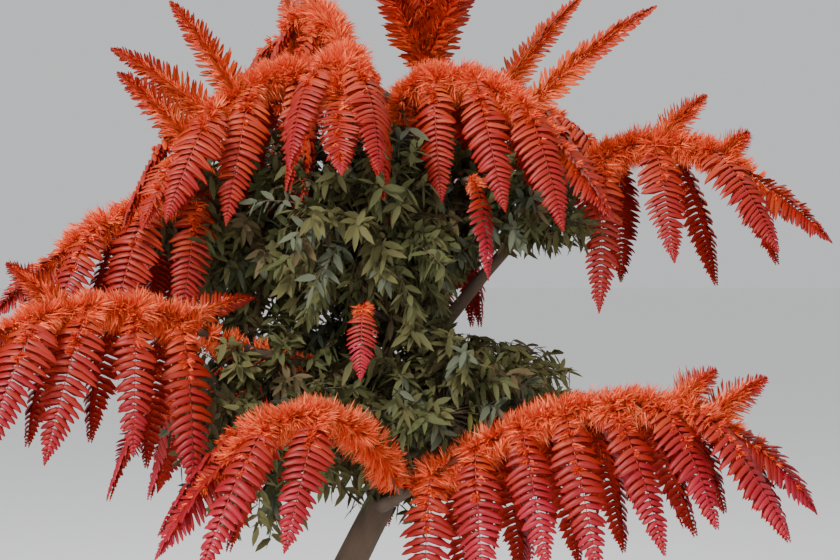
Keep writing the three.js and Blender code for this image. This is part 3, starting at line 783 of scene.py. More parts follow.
def rising_lines(roots, facing, pitch, length):
    """Controls of fronds that stand up and out at a pitch in degrees, bowed a little."""
    length = np.broadcast_to(length, pitch.shape)[:, None]
    reach = length * around(np.radians(pitch), level(facing), UP)
    tips = roots + reach
    bend = (roots + tips) / 2 + RISER_BOW * length * UP
    return np.stack([np.broadcast_to(roots, tips.shape), bend, tips], 1), level(facing + np.pi / 2)


def riser_lines(arch, risers):
    """Controls of one shoot's risers."""
    t, turn, pitch, length = np.array(risers, float).reshape(-1, 4).T
    roots, headings = follow(arch, t)
    return rising_lines(roots, bearing(headings) + np.radians(turn), pitch, length)


def spur_line(arch, length):
    """A short spike near a shoot's root that points back along its bough."""
    roots, headings = follow(arch, [SPUR_FROM])
    return rising_lines(roots, bearing(headings) + np.pi, np.array([SPUR_PITCH]), length)


print("the last frond starts at", round(SHOOT_SHARE - LAST_FROND_OVERLAP, 2), "of its arch")


# %% [markdown]
# The tuft on the leader's tip is eight fronds, steep and flatter by turns. The two small sprays
# inside the crown have one frond each.

# %% Gather the fronds by kind
TUFT_HEIGHT, TUFT_ROOT, TUFT_FRONDS, TUFT_LENGTH, TUFT_PITCH = 0.110, 0.4, 8, 0.370, (74, 54)


def tuft_lines():
    """Controls of the tuft's fronds, steep and flatter by turns."""
    foot, heading = follow(LEADER, [1.0])
    root = foot[0] + TUFT_ROOT * TUFT_HEIGHT * heading[0]
    k = np.arange(TUFT_FRONDS)
    return rising_lines(root, 2 * np.pi * k / TUFT_FRONDS, mix(TUFT_PITCH, k % 2), TUFT_LENGTH)


def gathered(pairs):
    """Joins (controls, across) pairs."""
    controls, across = zip(*pairs)
    return np.concatenate(controls), np.concatenate(across)


numbered = list(zip(range(len(SHOOTS)), ARCHES, SHOOTS.values()))
hung = [hanging_lines(n, arch, row.get("hang_from", HANG_FROM)) for n, arch, row in numbered]
hanging = gathered(hung)
lasts = gathered(last_line(n, arch) for n, arch, row in numbered)
rising = gathered(riser_lines(arch, row["risers"]) for n, arch, row in numbered)
spurs = gathered(spur_line(arch, row["spur"]) for n, arch, row in numbered if "spur" in row)
tuft = tuft_lines()
small = (np.array([spray_controls(spray) for spray in SPRAYS.values()]),
         level(np.radians([spray["azimuth"] + 90 for spray in SPRAYS.values()])))
kinds = dict(hanging=hanging, last=lasts, rising=rising, spur=spurs, tuft=tuft, small=small)
for kind, (controls, _) in kinds.items():
    print(kind, "fronds:", len(controls))

# %% [markdown]
# ## Leaflets
# Leaflets stand off the rib in pairs, longest a third of the way down, and thin out into a long
# tip. Each is turned on its own length like the blade of a louvre, lower edge out, which gives the
# lit ridges and dark gaps that make these fronds look combed.

# %% Leaflets on a frond
LEAFLET_STATIONS = (0.0, 0.12, 0.45, 0.80, 0.95)
TAPER_LATENESS = 2.1
TIP_CROWDING, ROOT_CROWDING = 1.6, 1.2
LEAFLET_FULLNESS, LEAFLET_CAMBER = 0.45, 0.95
LEAN_LATENESS = 1.6
ANGLE_VARIES, TILT_VARIES, FALL_VARIES, REACH_VARIES, SINK_VARIES = 0.07, 0.12, 0.07, 0.05, 0.07
RIB_CLEARANCE = 0.002


def reach_along(share, start, rise, lateness, power, tip):
    """How far leaflets reach along a frond: min(1, start + rise share), tapered by
    (1 - share^lateness)^power, plus a little at the tip."""
    return np.minimum(1, start + rise * share) * (1 - share ** lateness) ** power + tip


def frond_reach(share, slimness):
    """The reach along a hanging frond, which tapers later where the frond is slim."""
    return reach_along(share, 0.14, 2.6, TAPER_LATENESS / slimness, 1.15, 0.02)


def spike_reach(share, slimness=1.0):
    """The reach along a frond that stands up: an even taper to a point."""
    return reach_along(share, 0.70, 2.0, 1.6, 0.9, 0.03)


def leaflets_on(lines, width, pairs, lean, warmth, seed, reach_at=frond_reach, louvre=0.42, droop=0.10,
                slimness=1.0, sink=0.30, back=0.0):
    """All leaflets of a kind of frond, as flat arrays. With u running evenly from 0 to 1, a pair's
    share of the frond is 1 - (1 - u^a)^b, so that pairs are close at both ends, and its pitch is the
    slope of that. lean holds the forward angle at root and tip, and louvre the turn on its own
    length. droop tips a leaflet back off the frond's face, and sink bends it down. warmth is one
    number a frond, 0 orange to 1 crimson, and slimness one share of the width a frond. back sets
    leaflets behind the rib."""
    controls, across = lines
    u = (np.arange(pairs) + 0.5) / pairs
    ahead = 1 - u ** ROOT_CROWDING
    share = 1 - ahead ** TIP_CROWDING
    slope = TIP_CROWDING * ahead ** (TIP_CROWDING - 1) * ROOT_CROWDING * u ** (ROOT_CROWDING - 1)
    pitch = step_lengths(samples_of(controls, 9)).sum(1)[:, None] * slope / pairs
    rng = np.random.default_rng(seed)
    slimness = np.broadcast_to(slimness, len(controls))[:, None]
    places, headings, side, face = frames_on(controls, across, even_shares(controls, share))
    shape = places.shape[:2]

    def varied(middle, varies):
        return middle + varies * rng.standard_normal(shape)

    rows = []
    for hand in (-1, 1):
        angle = varied(mix(lean, share ** LEAN_LATENESS), ANGLE_VARIES)
        tilt = varied(louvre, TILT_VARIES)
        fall = varied(droop, FALL_VARIES)
        along = unit(around(angle, hand * side, headings) - fall[..., None] * face)
        normal = around(tilt, face, -headings)
        reach = reach_at(share[None], slimness) * varied(1, REACH_VARIES)
        rows.append(flat(dict(
            root=places + (RIB_CLEARANCE - back) * face, along=along, normal=normal,
            length=0.5 * width * slimness * reach / np.cos(angle), half=LEAFLET_FULLNESS * pitch,
            share=np.broadcast_to(share, shape), warmth=np.broadcast_to(warmth[:, None], shape),
            sink=varied(sink, SINK_VARIES))))
    return joined(rows)


even = np.linspace(0, 1, 101)
print("leaflets reach furthest at", even[frond_reach(even, 1.0).argmax()], "of a hanging frond")


# %% [markdown]
# ## Old and young fronds
# Low shoots turn first, so their fronds are redder, and also broader with fewer leaflets. A frond
# that carries leaflets all round is made of two ranks, each with its side direction rolled.

# %% Deal the leaflets out
FROND_WIDTH, LAST_FROND_WIDTH, RISER_WIDTH = 0.165, 0.130, 0.100
SPUR_WIDTH, TUFT_WIDTH, SPRAY_WIDTH = 0.080, 0.125, 0.085
SLIMMEST, WIDEST = 0.57, (0.74, 1.05)
FROND_PAIRS = {True: 28, False: 33}
FROND_LEANING, SPRAY_LEANING = (-0.08, 0.45), (0.00, 0.60)
LAST_LEANING, SPIKE_LEANING = (0.25, 0.70), (0.45, 0.85)
LAST_ROLLS, SPIKE_ROLLS = (-0.9, 0.9), (-0.4, 2.5)
WARMER_BELOW, WARMER_BY_CHANCE = 0.28, 0.18
RISERS_COOLER = 0.15


def rolled(lines, roll):
    """The same lines with their side direction rolled up or down, for a second rank of leaflets."""
    controls, across = lines
    return controls, unit(across + roll * UP)


def lowness(counts):
    """For each frond, 0 on the highest shoot and 1 on the lowest."""
    height = ARCHES[:, 0, 2]
    return np.repeat(1 - (height - height.min()) / np.ptp(height), counts)


def shoot_warmth(counts, seed):
    """A crimson share for each frond: low shoots are redder than high ones, with chance on top."""
    low = lowness(np.broadcast_to(counts, len(SHOOTS)))
    return WARMER_BELOW * low + WARMER_BY_CHANCE * chance(seed + 3.7 * np.arange(len(low)))


hung_counts = [len(controls) for controls, _ in hung]
riser_counts = [len(shoot["risers"]) for shoot in SHOOTS.values()]
hung_lowness = lowness(hung_counts)
frond_chance = chance(9 + 2.3 * np.arange(len(hung_lowness)))
hung_slimness = mix((SLIMMEST, mix(WIDEST, hung_lowness)), frond_chance)
hung_warmth = shoot_warmth(hung_counts, 5)


def hanging_leaflets(width, **settings):
    """Leaflets of all hanging fronds, with fewer pairs on the wide fronds of low shoots."""
    for low, pairs in FROND_PAIRS.items():
        chosen = (hung_lowness > 0.5) == low
        lines = (hanging[0][chosen], hanging[1][chosen])
        yield leaflets_on(lines, width, pairs, FROND_LEANING, hung_warmth[chosen], 11,
                          slimness=hung_slimness[chosen], **settings)


spikes = [(rising, RISER_WIDTH, 42, shoot_warmth(riser_counts, 7) - RISERS_COOLER, 16),
          (spurs, SPUR_WIDTH, 26, np.full(len(spurs[0]), 0.1), 24),
          (tuft, TUFT_WIDTH, 40, np.full(TUFT_FRONDS, 0.20), 20)]
leaflet_sets = [*hanging_leaflets(FROND_WIDTH)]
leaflet_sets += [leaflets_on(small, SPRAY_WIDTH, 24, SPRAY_LEANING, np.full(len(SPRAYS), 0.45), 15)]
leaflet_sets += [leaflets_on(rolled(lasts, roll), LAST_FROND_WIDTH, 36, LAST_LEANING,
                             shoot_warmth(1, 6), 12 + rank, sink=0.12)
                 for rank, roll in enumerate(LAST_ROLLS)]
leaflet_sets += [leaflets_on(rolled(lines, roll), width, pairs, SPIKE_LEANING, warmth, seed + rank,
                             spike_reach, louvre=0.1, sink=-0.05)
                 for rank, roll in enumerate(SPIKE_ROLLS)
                 for lines, width, pairs, warmth, seed in spikes]
leaflets = joined(leaflet_sets)
print(len(leaflets["share"]), "leaflets on fronds")

# %% [markdown]
# ## Autumn tints
# Colour changes down each frond: orange where it leaves the shoot, scarlet, then crimson to the
# tip. Leaflets are sorted into a few plain tints by their place on the frond and by their shoot,
# and each tint is a mesh of its own.

# %% Red tints
RED_TINTS = {
    "orange": linear(188, 70, 25),
    "vermilion": linear(165, 49, 18),
    "scarlet": linear(149, 33, 17),
    "red": linear(142, 24, 20),
    "crimson": linear(140, 17, 26),
    "rose": linear(156, 24, 40),
}
SHOOT_NODES = [*SHOOTS, "crown_top", *SPRAYS]
REDDENING, REDDENING_BY_WARMTH, REDDENING_EASE = 0.45, 1.6, 0.8
ROOT_RED_BY_WARMTH, TINT_SCATTER = 0.2, 0.20
LEAFLET_CURL = 0.06


def tint_of(rows, seed):
    """The number of each leaflet's tint: its share down the frond, its frond's warmth and chance."""
    warmth = rows["warmth"]
    red = (REDDENING + REDDENING_BY_WARMTH * warmth) * rows["share"] ** REDDENING_EASE
    red = red + ROOT_RED_BY_WARMTH * warmth
    red = red + TINT_SCATTER * (chance(seed + 1.3 * np.arange(len(red))) - 0.5)
    return np.clip((red * len(RED_TINTS)).astype(int), 0, len(RED_TINTS) - 1)


def leaflet_shapes(rows, stations=LEAFLET_STATIONS):
    """Points and triangles of leaflets that droop by their own share."""
    sag = LEAFLET_CURL * rows["normal"] + rows["sink"][:, None] * UP
    return blades(rows, rows["half"], stations, leaflet_outline, LEAFLET_CAMBER, sag)


add_tinted("leaflets", "leaflet", leaflets, tint_of(leaflets, 21), RED_TINTS, leaflet_shapes,
           (0.46, 0.28), SHOOT_NODES, "scarlet")

# %% [markdown]
# ## The under rank of painted shade
# Leaflets of a real frond overlap, and their lower halves lie in shade. A second rank close behind
# each hanging frond, plain and dark, is painted shade: it fills the gaps of the first and makes its
# fingers stand out.

# %% Under rank
UNDER_STATIONS = (0.0, 0.5)
UNDER_BEHIND, UNDER_DROOP = 0.009, 0.14
UNDER_NARROWER, UNDER_FULLER = 0.95, 1.25
# The under rank's plain dark red is painted shade for the gaps between the leaflets.
UNDER_SHADE_FINISH = plain_finish("leaflet_painted_shade", linear(146, 29, 21), 0.6, 0.1)
under = joined(list(hanging_leaflets(UNDER_NARROWER * FROND_WIDTH, louvre=0.0, droop=UNDER_DROOP,
                                     back=UNDER_BEHIND)))
under["half"] = UNDER_FULLER * under["half"]
add_piece("leaflets_under", *leaflet_shapes(under, UNDER_STATIONS), UNDER_SHADE_FINISH, SHOOT_NODES,
          "scarlet")

# %% [markdown]
# ## The furred shoots
# Between its fronds a shoot is hidden in short pointed orange leaflets that stand out on all
# sides. Here they are called bristles. They could be hair, but hair has no faces to export, so
# each one is a small blade. They are dealt in clumps by chance and lean a little forward.

# %% Bristles in clumps
CLUMP = 18
CLUMP_ALONG, CLUMP_FAN, CLUMP_LENGTHS = 0.006, 0.35, (0.62, 1.10)
BRISTLE_LEAN, SPIKE_BRISTLE_LEAN = (0.05, 0.75), (0.8, 1.4)
BRISTLE_SCATTER, BRISTLE_UPTURN = 0.22, 0.7
BRISTLE_START, BRISTLE_START_VARIES = 0.05, 0.35
BRISTLE_LENGTH, BRISTLE_LENGTH_VARIES = 0.72, 0.28
fur_chance = np.random.default_rng(31)


def bristles_on(lines, spread, reach_at, lean=BRISTLE_LEAN, redness=(0.0, 0.0), clump=CLUMP):
    """Bristles on curves, in clumps. spread holds the clumps' own t, (curves, clumps); reach_at(t) is
    how far tips stand out there. A clump shares one direction, length and lean, and its bristles
    fan out round them. redness is how red they are at the curve's start and end."""
    controls, across = lines
    clumps = spread.shape

    def shared(values):
        return np.repeat(values, clump, axis=1)

    strewn = CLUMP_ALONG * fur_chance.standard_normal((clumps[0], clumps[1] * clump))
    t = np.clip(shared(spread) + strewn, 0, 1)
    places, headings, side, face = frames_on(controls, across, t)
    turn = shared(2 * np.pi * fur_chance.random(clumps))
    out = around(turn + CLUMP_FAN * fur_chance.standard_normal(t.shape), face, side)
    forward = shared(mix(lean, fur_chance.random(clumps)))[..., None]
    along = unit(out + forward * headings + BRISTLE_SCATTER * fur_chance.standard_normal(places.shape))
    reach = reach_at(t) * shared(mix(CLUMP_LENGTHS, fur_chance.random(clumps)))
    start = (BRISTLE_START + BRISTLE_START_VARIES * fur_chance.random(t.shape)) * reach
    length = (reach - start) * (BRISTLE_LENGTH + BRISTLE_LENGTH_VARIES * fur_chance.random(t.shape))
    normal = square_to(fur_chance.standard_normal(places.shape), along)
    return flat(dict(root=places + start[..., None] * out, along=along,
                     normal=unit(normal + BRISTLE_UPTURN * UP), length=length, red=mix(redness, t)))


def spread_on(lines, clumps, share=(0.0, 1.0), bias=1.0):
    """The t of each curve's clumps: by chance within a share, crowded to its start by a bias."""
    return mix(share, fur_chance.random((len(lines[0]), clumps)) ** bias)


def standing(reach, fade=0.0, power=1):
    """How far bristles stand out at t on a curve: reach (1 - fade t^power)."""
    return lambda t: reach * (1 - fade * t ** power)


def spike_bristles(lines, width, count, redness=(-0.1, 0.35)):
    """Bristles all along spikes, one by one and well forward, as far out as their leaflets."""
    spread = spread_on(lines, count, bias=1.2)
    return bristles_on(lines, spread, lambda t: 0.5 * width * spike_reach(t), SPIKE_BRISTLE_LEAN,
                       redness, 1)


print("a clump has", CLUMP, "bristles, and a spike has single ones")


# %% [markdown]
# Fur covers every arch up to its last frond, the ends of the boughs that show, the tip of the
# leader and the stem of the tuft. It also covers the foot of every hanging frond, so that fronds
# seem to grow out of it.

# %% Fur on every curve
furred_names = [name for name in SHOOTS if name.startswith("top_") or name in ("low_left", "mid_left")]
furred = (np.array([BOUGHS[name] for name in furred_names]),
          np.array([ARCH_ACROSS[list(SHOOTS).index(name)] for name in furred_names]))
arches = (ARCHES, ARCH_ACROSS)
leader_line = (LEADER[None], level([np.pi / 2]))
tuft_stem = (np.array([[LEADER[2], LEADER[2] + 0.5 * TUFT_HEIGHT * UP, LEADER[2] + TUFT_HEIGHT * UP]]),
             level([np.pi / 2]))
NOT_RED = (0.0, 0.0)
FUR = [  # lines, clumps a line, their share of it, crowding to its start, reach, redness
    (arches, 340, (0.0, SHOOT_SHARE), 1.0, standing(0.068, 0.30 / SHOOT_SHARE ** 2, 2), NOT_RED),
    (hanging, 30, (0.0, 0.62), 1.0, standing(0.068, 1.15), (0.0, 0.60)),
    (lasts, 46, (0.0, 0.90), 1.3, standing(0.054, 0.9), (0.0, 0.45)),
    (furred, 70, (0.40, 1.0), 1.0, standing(0.050), NOT_RED),
    (leader_line, 110, (0.78, 1.0), 1.0, standing(0.052), NOT_RED),
    (tuft_stem, 30, (0.0, 1.0), 1.0, standing(0.042), NOT_RED),
    (small, 14, (0.0, 0.25), 1.0, standing(0.030), NOT_RED),
]
bristle_sets = [bristles_on(lines, spread_on(lines, clumps, share, bias), reach_at, redness=redness)
                for lines, clumps, share, bias, reach_at, redness in FUR]
bristle_sets += [spike_bristles(rising, RISER_WIDTH, 800)]
bristle_sets += [spike_bristles(spurs, SPUR_WIDTH, 600)]
bristle_sets += [spike_bristles(tuft, TUFT_WIDTH, 900, (0.15, 0.60))]
bristles = joined(bristle_sets)
print(len(bristles["length"]), "bristles")

# %% [markdown]
# The fur is brightest of all, since its leaflets are young and thin. Four tints are dealt out by
# chance, and redder ones further down a frond.

# %% Bristle tints
BRISTLE_TINTS = {
    "light": linear(252, 131, 80),
    "mid": linear(246, 104, 58),
    "deep": linear(227, 77, 42),
    "ember": linear(186, 42, 24),
}
BRISTLE_HALF_WIDTH, BRISTLE_STATIONS = 0.0027, (0.0,)
BRISTLE_CAMBER, BRISTLE_SAG = 0.35, 0.12
BRISTLE_TINT_SPREAD = 0.72


def bristle_shapes(rows):
    """Points and triangles of bristles, each one station and a tip."""
    half = np.full(len(rows["length"]), BRISTLE_HALF_WIDTH)
    sag = BRISTLE_SAG * UP + 0 * rows["normal"]
    return blades(rows, half, BRISTLE_STATIONS, bristle_outline, BRISTLE_CAMBER, sag)


bristle_chance = chance(41 + 2.9 * np.arange(len(bristles["length"])))
bristle_red = BRISTLE_TINT_SPREAD * bristle_chance + bristles["red"]
bristle_tints = np.clip(bristle_red * len(BRISTLE_TINTS), 0, len(BRISTLE_TINTS) - 1).astype(int)
add_tinted("bristles", "bristle", bristles, bristle_tints, BRISTLE_TINTS, bristle_shapes,
           (0.55, 0.3), SHOOT_NODES, "scarlet")

# %% [markdown]
# ## Stems and ribs
# A thin velvety stem runs inside each shoot, and a pale rib down the middle of every frond. They
# are plain round tubes.

# %% Stems and ribs
STEM_FINISH = plain_finish("young_stem", linear(120, 52, 34), 0.7)
RIB_FINISH = plain_finish("rib", linear(178, 62, 48), 0.5)
STEM_RADII, TUFT_STEM_RADII = (0.009, 0.0045), (0.013, 0.006)
STEM_OVERLAP = 0.02
RIB_ROOTS = dict(hanging=0.0022, last=0.0036, rising=0.0022, spur=0.0020, tuft=0.0026, small=0.0020)
RIB_TIP = 0.0007


def same_radii(radii, lines):
    """The same two radii for every line."""
    return np.tile(radii, (len(lines), 1))


stems = tubes(ARCHES, ARCH_ACROSS, same_radii(STEM_RADII, ARCHES), 24, 10, SHOOT_SHARE + STEM_OVERLAP)
tuft_tube = tubes(*tuft_stem, np.array([TUFT_STEM_RADII]), 8, 12)
add_piece("shoot_stems", *stack([stems, tuft_tube]), STEM_FINISH, SHOOT_NODES, "scarlet")
all_ribs = stack([tubes(*lines, same_radii((RIB_ROOTS[kind], RIB_TIP), lines[0]), 12, 5)
                  for kind, lines in kinds.items()])
add_piece("ribs", *all_ribs, RIB_FINISH, SHOOT_NODES, "scarlet")

# %% [markdown]
# ## Grey-green leaves
# The inside of the crown is a thicket of plain pointed leaves on thin drooping twigs. Each mass
# has a stem from the leader to its middle, twigs that fan out evenly over a ball, and leaves by
# turns along each twig. Even directions with a little chance leave no bald side.

# %% The leaf masses
LEAF_RINGS = {
    "lower": dict(count=4, first=-150, spread=(0.300, 0.190), height=1.115, size=0.285, at=0.12),
    "upper": dict(count=4, first=-95, spread=(0.290, 0.190), height=1.540, size=0.285, at=0.62),
}
TWIGS_PER_MASS, LEAVES_PER_TWIG = 126, 26
TWIG_SCATTER, TWIG_REACH = 0.18, (0.70, 1.00)
TWIG_ROOT, TWIG_BEND, TWIG_LIFT, TWIG_DROOP = 0.08, 0.6, 0.10, 0.10
MASS_STEM_LIFT = 0.02


def ball_directions(count):
    """Directions spread evenly over a ball: equal steps of height, a golden angle apart."""
    k = np.arange(count)
    z = 1 - 2 * (k + 0.5) / count
    turned = level(k * np.pi * (3 - np.sqrt(5))) * np.sqrt(1 - z * z)[:, None]
    return turned + z[:, None] * UP


def mass_twigs(centre, size, seed):
    """Controls of one mass's twigs: from its middle outwards. Their ends droop, except on top."""
    rng = np.random.default_rng(seed)
    scatter = TWIG_SCATTER * rng.standard_normal((TWIGS_PER_MASS, 3))
    out = unit(ball_directions(TWIGS_PER_MASS) + scatter)
    reach = size * rng.uniform(*TWIG_REACH, (TWIGS_PER_MASS, 1))
    root = centre + TWIG_ROOT * size * out
    bend = centre + TWIG_BEND * reach * out + TWIG_LIFT * size * UP
    droop = TWIG_DROOP * size * (1 - np.clip(out[:, 2:], 0, 1))
    return np.stack([root, bend, centre + reach * out - droop * UP], 1)


def on_oval(ring, k):
    """The middle of one mass of an oval ring."""
    angle = np.radians(ring["first"] + 360 * k / ring["count"])
    x, y = ring["spread"]
    return np.array([CROWN_AXIS_X + x * np.cos(angle), y * np.sin(angle), ring["height"]])


leaf_nodes, twig_sets, stem_sets = [], [], []
for number, (ring_name, ring) in enumerate(LEAF_RINGS.items()):
    for k in range(ring["count"]):
        centre = on_oval(ring, k)
        twig_sets.append(mass_twigs(centre, ring["size"], 50 + 10 * number + k))
        start = follow(LEADER, [ring["at"]])[0][0]
        stem_sets.append([start, (start + centre) / 2 + MASS_STEM_LIFT * UP, centre])
        leaf_nodes.append(f"leaves_{ring_name}_{k + 1}")
twigs = np.concatenate(twig_sets)
print(len(twigs), "leaf twigs in", len(leaf_nodes), "masses")

# %% [markdown]
# Leaves sit closer towards a twig's end, each turned on from the one before. They point outwards
# and forward and a little down, and their faces look up and out.

# %% Leaves along the twigs
LEAF_LENGTH, LEAF_LENGTHS = 0.050, (0.72, 1.1)
LEAF_TURN, FIRST_TURNS = 2.4, 6.28
LEAF_FORWARD, LEAF_DOWN, LEAF_SCATTER = 0.60, 0.25, 0.45
FACE_UP, FACE_FORWARD, FACE_SCATTER = 0.8, 0.9, 0.65
LEAF_CROWD = (0.25, 1.0)
LEAF_SHARES = mix(LEAF_CROWD, (np.arange(LEAVES_PER_TWIG) + 0.5) / LEAVES_PER_TWIG)


def leaves_along(controls, seed):
    """Leaves by turns along twigs: outwards, to alternate sides and a little down."""
    rng = np.random.default_rng(seed)
    places, headings, side, face = frames_on(controls, np.tile(UP, (len(controls), 1)), LEAF_SHARES)
    turn = np.arange(LEAVES_PER_TWIG) * LEAF_TURN + FIRST_TURNS * rng.random((len(controls), 1))
    along = unit(around(turn, side, face) + LEAF_FORWARD * headings - LEAF_DOWN * UP
                 + LEAF_SCATTER * rng.standard_normal(places.shape))
    normal = unit(FACE_UP * UP + FACE_FORWARD * headings
                  + FACE_SCATTER * rng.standard_normal(places.shape))
    length = LEAF_LENGTH * rng.uniform(*LEAF_LENGTHS, places.shape[:2])
    twig = np.broadcast_to(np.arange(len(controls))[:, None], places.shape[:2])
    return flat(dict(root=places, along=along, normal=normal, length=length, twig=twig))


leaves = leaves_along(twigs, 71)
leaf_tips = leaves["root"] + leaves["length"][:, None] * leaves["along"]
print(len(leaf_tips), "leaves before any is left out")

# %% [markdown]
# ## Where the crown is open
# The photograph shows no grey-green leaves right of the bare bough, beneath the low arches where
# their fronds hang, or in front of the small sprays. A leaf whose root or tip lies there is left
# out, with the rest of its twig beyond it. That is simpler than bending twigs out of the way.

# %% Leave leaves out
LOW_ARCH_HEIGHT = 1.35
COVER_WIDTH, COVER_RISE = 0.20, 0.02
WINDOW_FROM, WINDOW_SILL, WINDOW_HEAD = 0.45, (1.310, 1.240), 1.480
WINDOW_SPAN, BOUGH_CLEARANCE = 0.35, 0.03
SHOWN_PLACES = samples_of(np.concatenate([small[0], spurs[0]]), 16).reshape(-1, 3)
SHOWN_WIDTH, SHOWN_DEPTH = 0.050, 0.03


def under_cover(points, arch, hang_from):
    """Which points lie under a low arch or close beside it, where its fronds hang. The arch's height
    and azimuth are read off at each point's own distance from the crown's axis."""
    from_axis = samples_of(arch, 40) - [CROWN_AXIS_X, 0, 0]
    radius = np.hypot(from_axis[:, 0], from_axis[:, 1])
    away = points - [CROWN_AXIS_X, 0, 0]
    reach = np.hypot(away[:, 0], away[:, 1])
    height = np.interp(reach, radius, from_axis[:, 2])
    turn = bearing(away) - np.interp(reach, radius, bearing(from_axis))
    beside = reach * np.abs((turn + np.pi) % (2 * np.pi) - np.pi)
    first_reach = np.interp(hang_from, np.linspace(0, 1, len(radius)), radius)
    return (reach > first_reach) & (beside < COVER_WIDTH) & (points[:, 2] < height + COVER_RISE)


def in_window(points):
    """Which points lie in the open window of the crown: right of WINDOW_FROM, over a sloping sill,
    and under both WINDOW_HEAD and the bare bough that reaches to the right."""
    x, height = points[:, 0], points[:, 2]
    bough = samples_of(BOUGHS["mid_right"], 40)
    sill = mix(WINDOW_SILL, (x - WINDOW_FROM) / WINDOW_SPAN)
    head = np.minimum(np.interp(x, bough[:, 0], bough[:, 2]) + BOUGH_CLEARANCE, WINDOW_HEAD)
    return (x > WINDOW_FROM) & (height > sill) & (height < head)


def before_small_fronds(points):
    """Which points would hide a small spray or the spur from the front: nearer than SHOWN_WIDTH to
    one of its places, seen along Y, and not SHOWN_DEPTH behind it."""
    apart = points[:, None] - SHOWN_PLACES
    near = np.hypot(apart[..., 0], apart[..., 2]) < SHOWN_WIDTH
    return (near & (apart[..., 1] < SHOWN_DEPTH)).any(1)


def left_out(points):
    """Which points lie where the crown is open."""
    found = in_window(points) | before_small_fronds(points)
    for arch, row in zip(ARCHES, SHOOTS.values()):
        if row["height"][0] < LOW_ARCH_HEIGHT:
            found |= under_cover(points, arch, row.get("hang_from", 0))
    return found


covered = left_out(leaves["root"]) | left_out(leaf_tips)
kept = np.logical_and.accumulate(~covered.reshape(len(twigs), LEAVES_PER_TWIG), axis=1)
twig_ends = (kept * LEAF_SHARES).max(1)
leaves = picked(leaves, kept.ravel())
print((~kept).sum(), "leaves left out where the crown is open,", kept.sum(), "kept")

# %% [markdown]
# Leaves of one twig share a tint, as they do on the tree: mostly olive, moss and grey, with some
# that turn brown and a few that turn straw yellow.

# %% Leaf tints
LEAF_TINTS = {
    "olive": linear(89, 85, 51),
    "moss": linear(81, 83, 50),
    "grey": linear(87, 91, 72),
    "brown": linear(88, 75, 50),
    "dusk": linear(82, 79, 48),
    "straw": linear(106, 104, 54),
}
LEAF_TINT_SHARES = np.cumsum([0.27, 0.24, 0.18, 0.14, 0.15, 0.02])
LEAF_HALF_WIDTH, LEAF_STATIONS = 0.0080, (0.05, 0.36, 0.72)
LEAF_CAMBER, LEAF_SAG = -0.30, 0.22


def leaf_shapes(rows):
    """Points and triangles of leaves, folded a little along the midline."""
    half = LEAF_HALF_WIDTH * rows["length"] / LEAF_LENGTH
    sag = LEAF_SAG * UP + 0 * rows["normal"]
    return blades(rows, half, LEAF_STATIONS, leaf_outline, LEAF_CAMBER, sag)


twig_chance = chance(83 + 1.9 * leaves["twig"])
leaf_tints = np.searchsorted(LEAF_TINT_SHARES, twig_chance * LEAF_TINT_SHARES[-1])
add_tinted("leaves", "leaf", leaves, leaf_tints, LEAF_TINTS, leaf_shapes,
           (0.70, 0.15), leaf_nodes, "leaf")

# %% [markdown]
# Each twig is a thin tube that ends at its last leaf, and twigs without a leaf are left out. A
# stronger stem carries each mass.

# %% Leaf twigs
TWIG_FINISH = plain_finish("leaf_twig", linear(92, 74, 56), 0.8)
TWIG_RADII, MASS_STEM_RADII = (0.0026, 0.0009), (0.011, 0.007)
mass_stems = np.array(stem_sets)
stem_across = np.cross(UP, mass_stems[:, 2] - mass_stems[:, 0])
leafy = twig_ends > 0
leafy_twigs = twigs[leafy]
twig_across = unit(np.cross(UP, leafy_twigs[:, 2] - leafy_twigs[:, 0]))
twig_radii = same_radii(TWIG_RADII, leafy_twigs)
twig_tubes = tubes(leafy_twigs, twig_across, twig_radii, 7, 4, twig_ends[leafy])
stem_tubes = tubes(mass_stems, stem_across, same_radii(MASS_STEM_RADII, mass_stems), 14, 10)
add_piece("leaf_twigs", *stack([twig_tubes, stem_tubes]), TWIG_FINISH, leaf_nodes, "leaf")

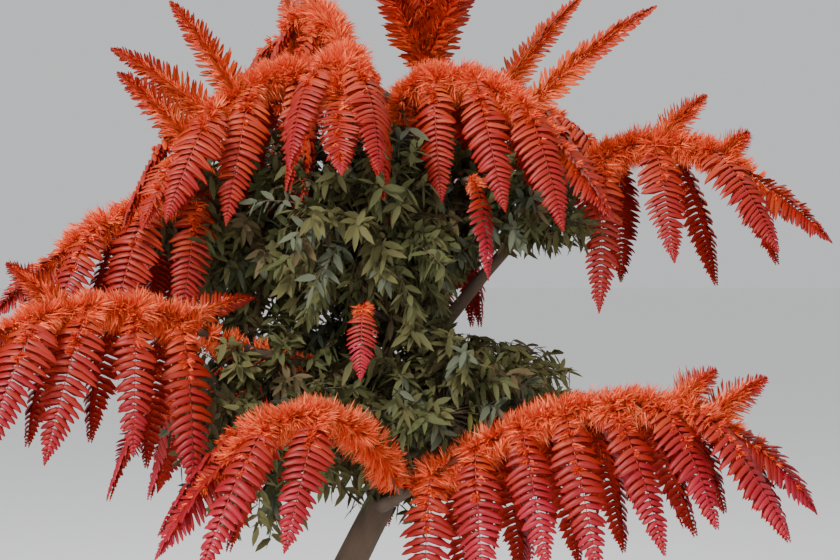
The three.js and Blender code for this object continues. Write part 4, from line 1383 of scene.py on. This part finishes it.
# %% [markdown]
# ## Floor and light
# A plain pale floor runs to the horizon. Overcast light comes from all of the sky, with a broad
# soft lamp high on the left to shape the fronds, and a weak low one that reaches under the arches.

# %% Floor and light
FLOOR_RADIUS, FLOOR_COLOUR = 300.0, (0.92, 0.92, 0.91, 1.0)
SKY_COLOUR, SKY_STRENGTH = (0.80, 0.81, 0.83, 1.0), 0.82
CROWN_MIDDLE = (0.3, 0.0, 1.4)
LAMPS = {  # place, size and power
    "key": ((-3.2, -5.6, 5.8), 2.2, 780),
    "fill": ((1.8, -5.6, 2.4), 2.0, 70),
    "top": ((0.9, 1.8, 7.0), 4.0, 160),
}


def add_floor():
    """A wide disc at ground level."""
    bpy.ops.mesh.primitive_circle_add(vertices=96, radius=FLOOR_RADIUS, fill_type="NGON")
    floor = bpy.context.object
    floor.name = "floor"
    floor.data.materials.append(plain_finish("floor", FLOOR_COLOUR, 0.9))


def add_lamp(name, location, size, power):
    """A square soft lamp that looks at the middle of the crown."""
    lamp = bpy.data.lights.new(name, "AREA")
    lamp.size = size
    lamp.energy = power
    placed = bpy.data.objects.new(name, lamp)
    way = np.array(location) - np.array(CROWN_MIDDLE)
    placed.location = location
    placed.visible_camera = False
    tip = np.arccos(way[2] / np.linalg.norm(way))
    placed.rotation_euler = (tip, 0, np.arctan2(way[1], way[0]) + np.pi / 2)
    bpy.context.collection.objects.link(placed)


def set_sky():
    """Plain light from all round."""
    world = bpy.data.worlds.new("sky")
    world.use_nodes = True
    background = world.node_tree.nodes["Background"]
    background.inputs["Color"].default_value = SKY_COLOUR
    background.inputs["Strength"].default_value = SKY_STRENGTH
    bpy.context.scene.world = world


add_floor()
for name, settings in LAMPS.items():
    add_lamp(name, *settings)
set_sky()
print("a floor, a sky and", len(LAMPS), "lamps")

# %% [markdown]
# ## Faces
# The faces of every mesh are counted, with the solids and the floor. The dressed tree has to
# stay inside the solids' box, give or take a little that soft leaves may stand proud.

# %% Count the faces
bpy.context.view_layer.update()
meshes = [piece.data for piece in bpy.data.objects if piece.type == "MESH"]
print(sum(len(mesh.polygons) for mesh in meshes), "faces in all, with the solids and the floor")
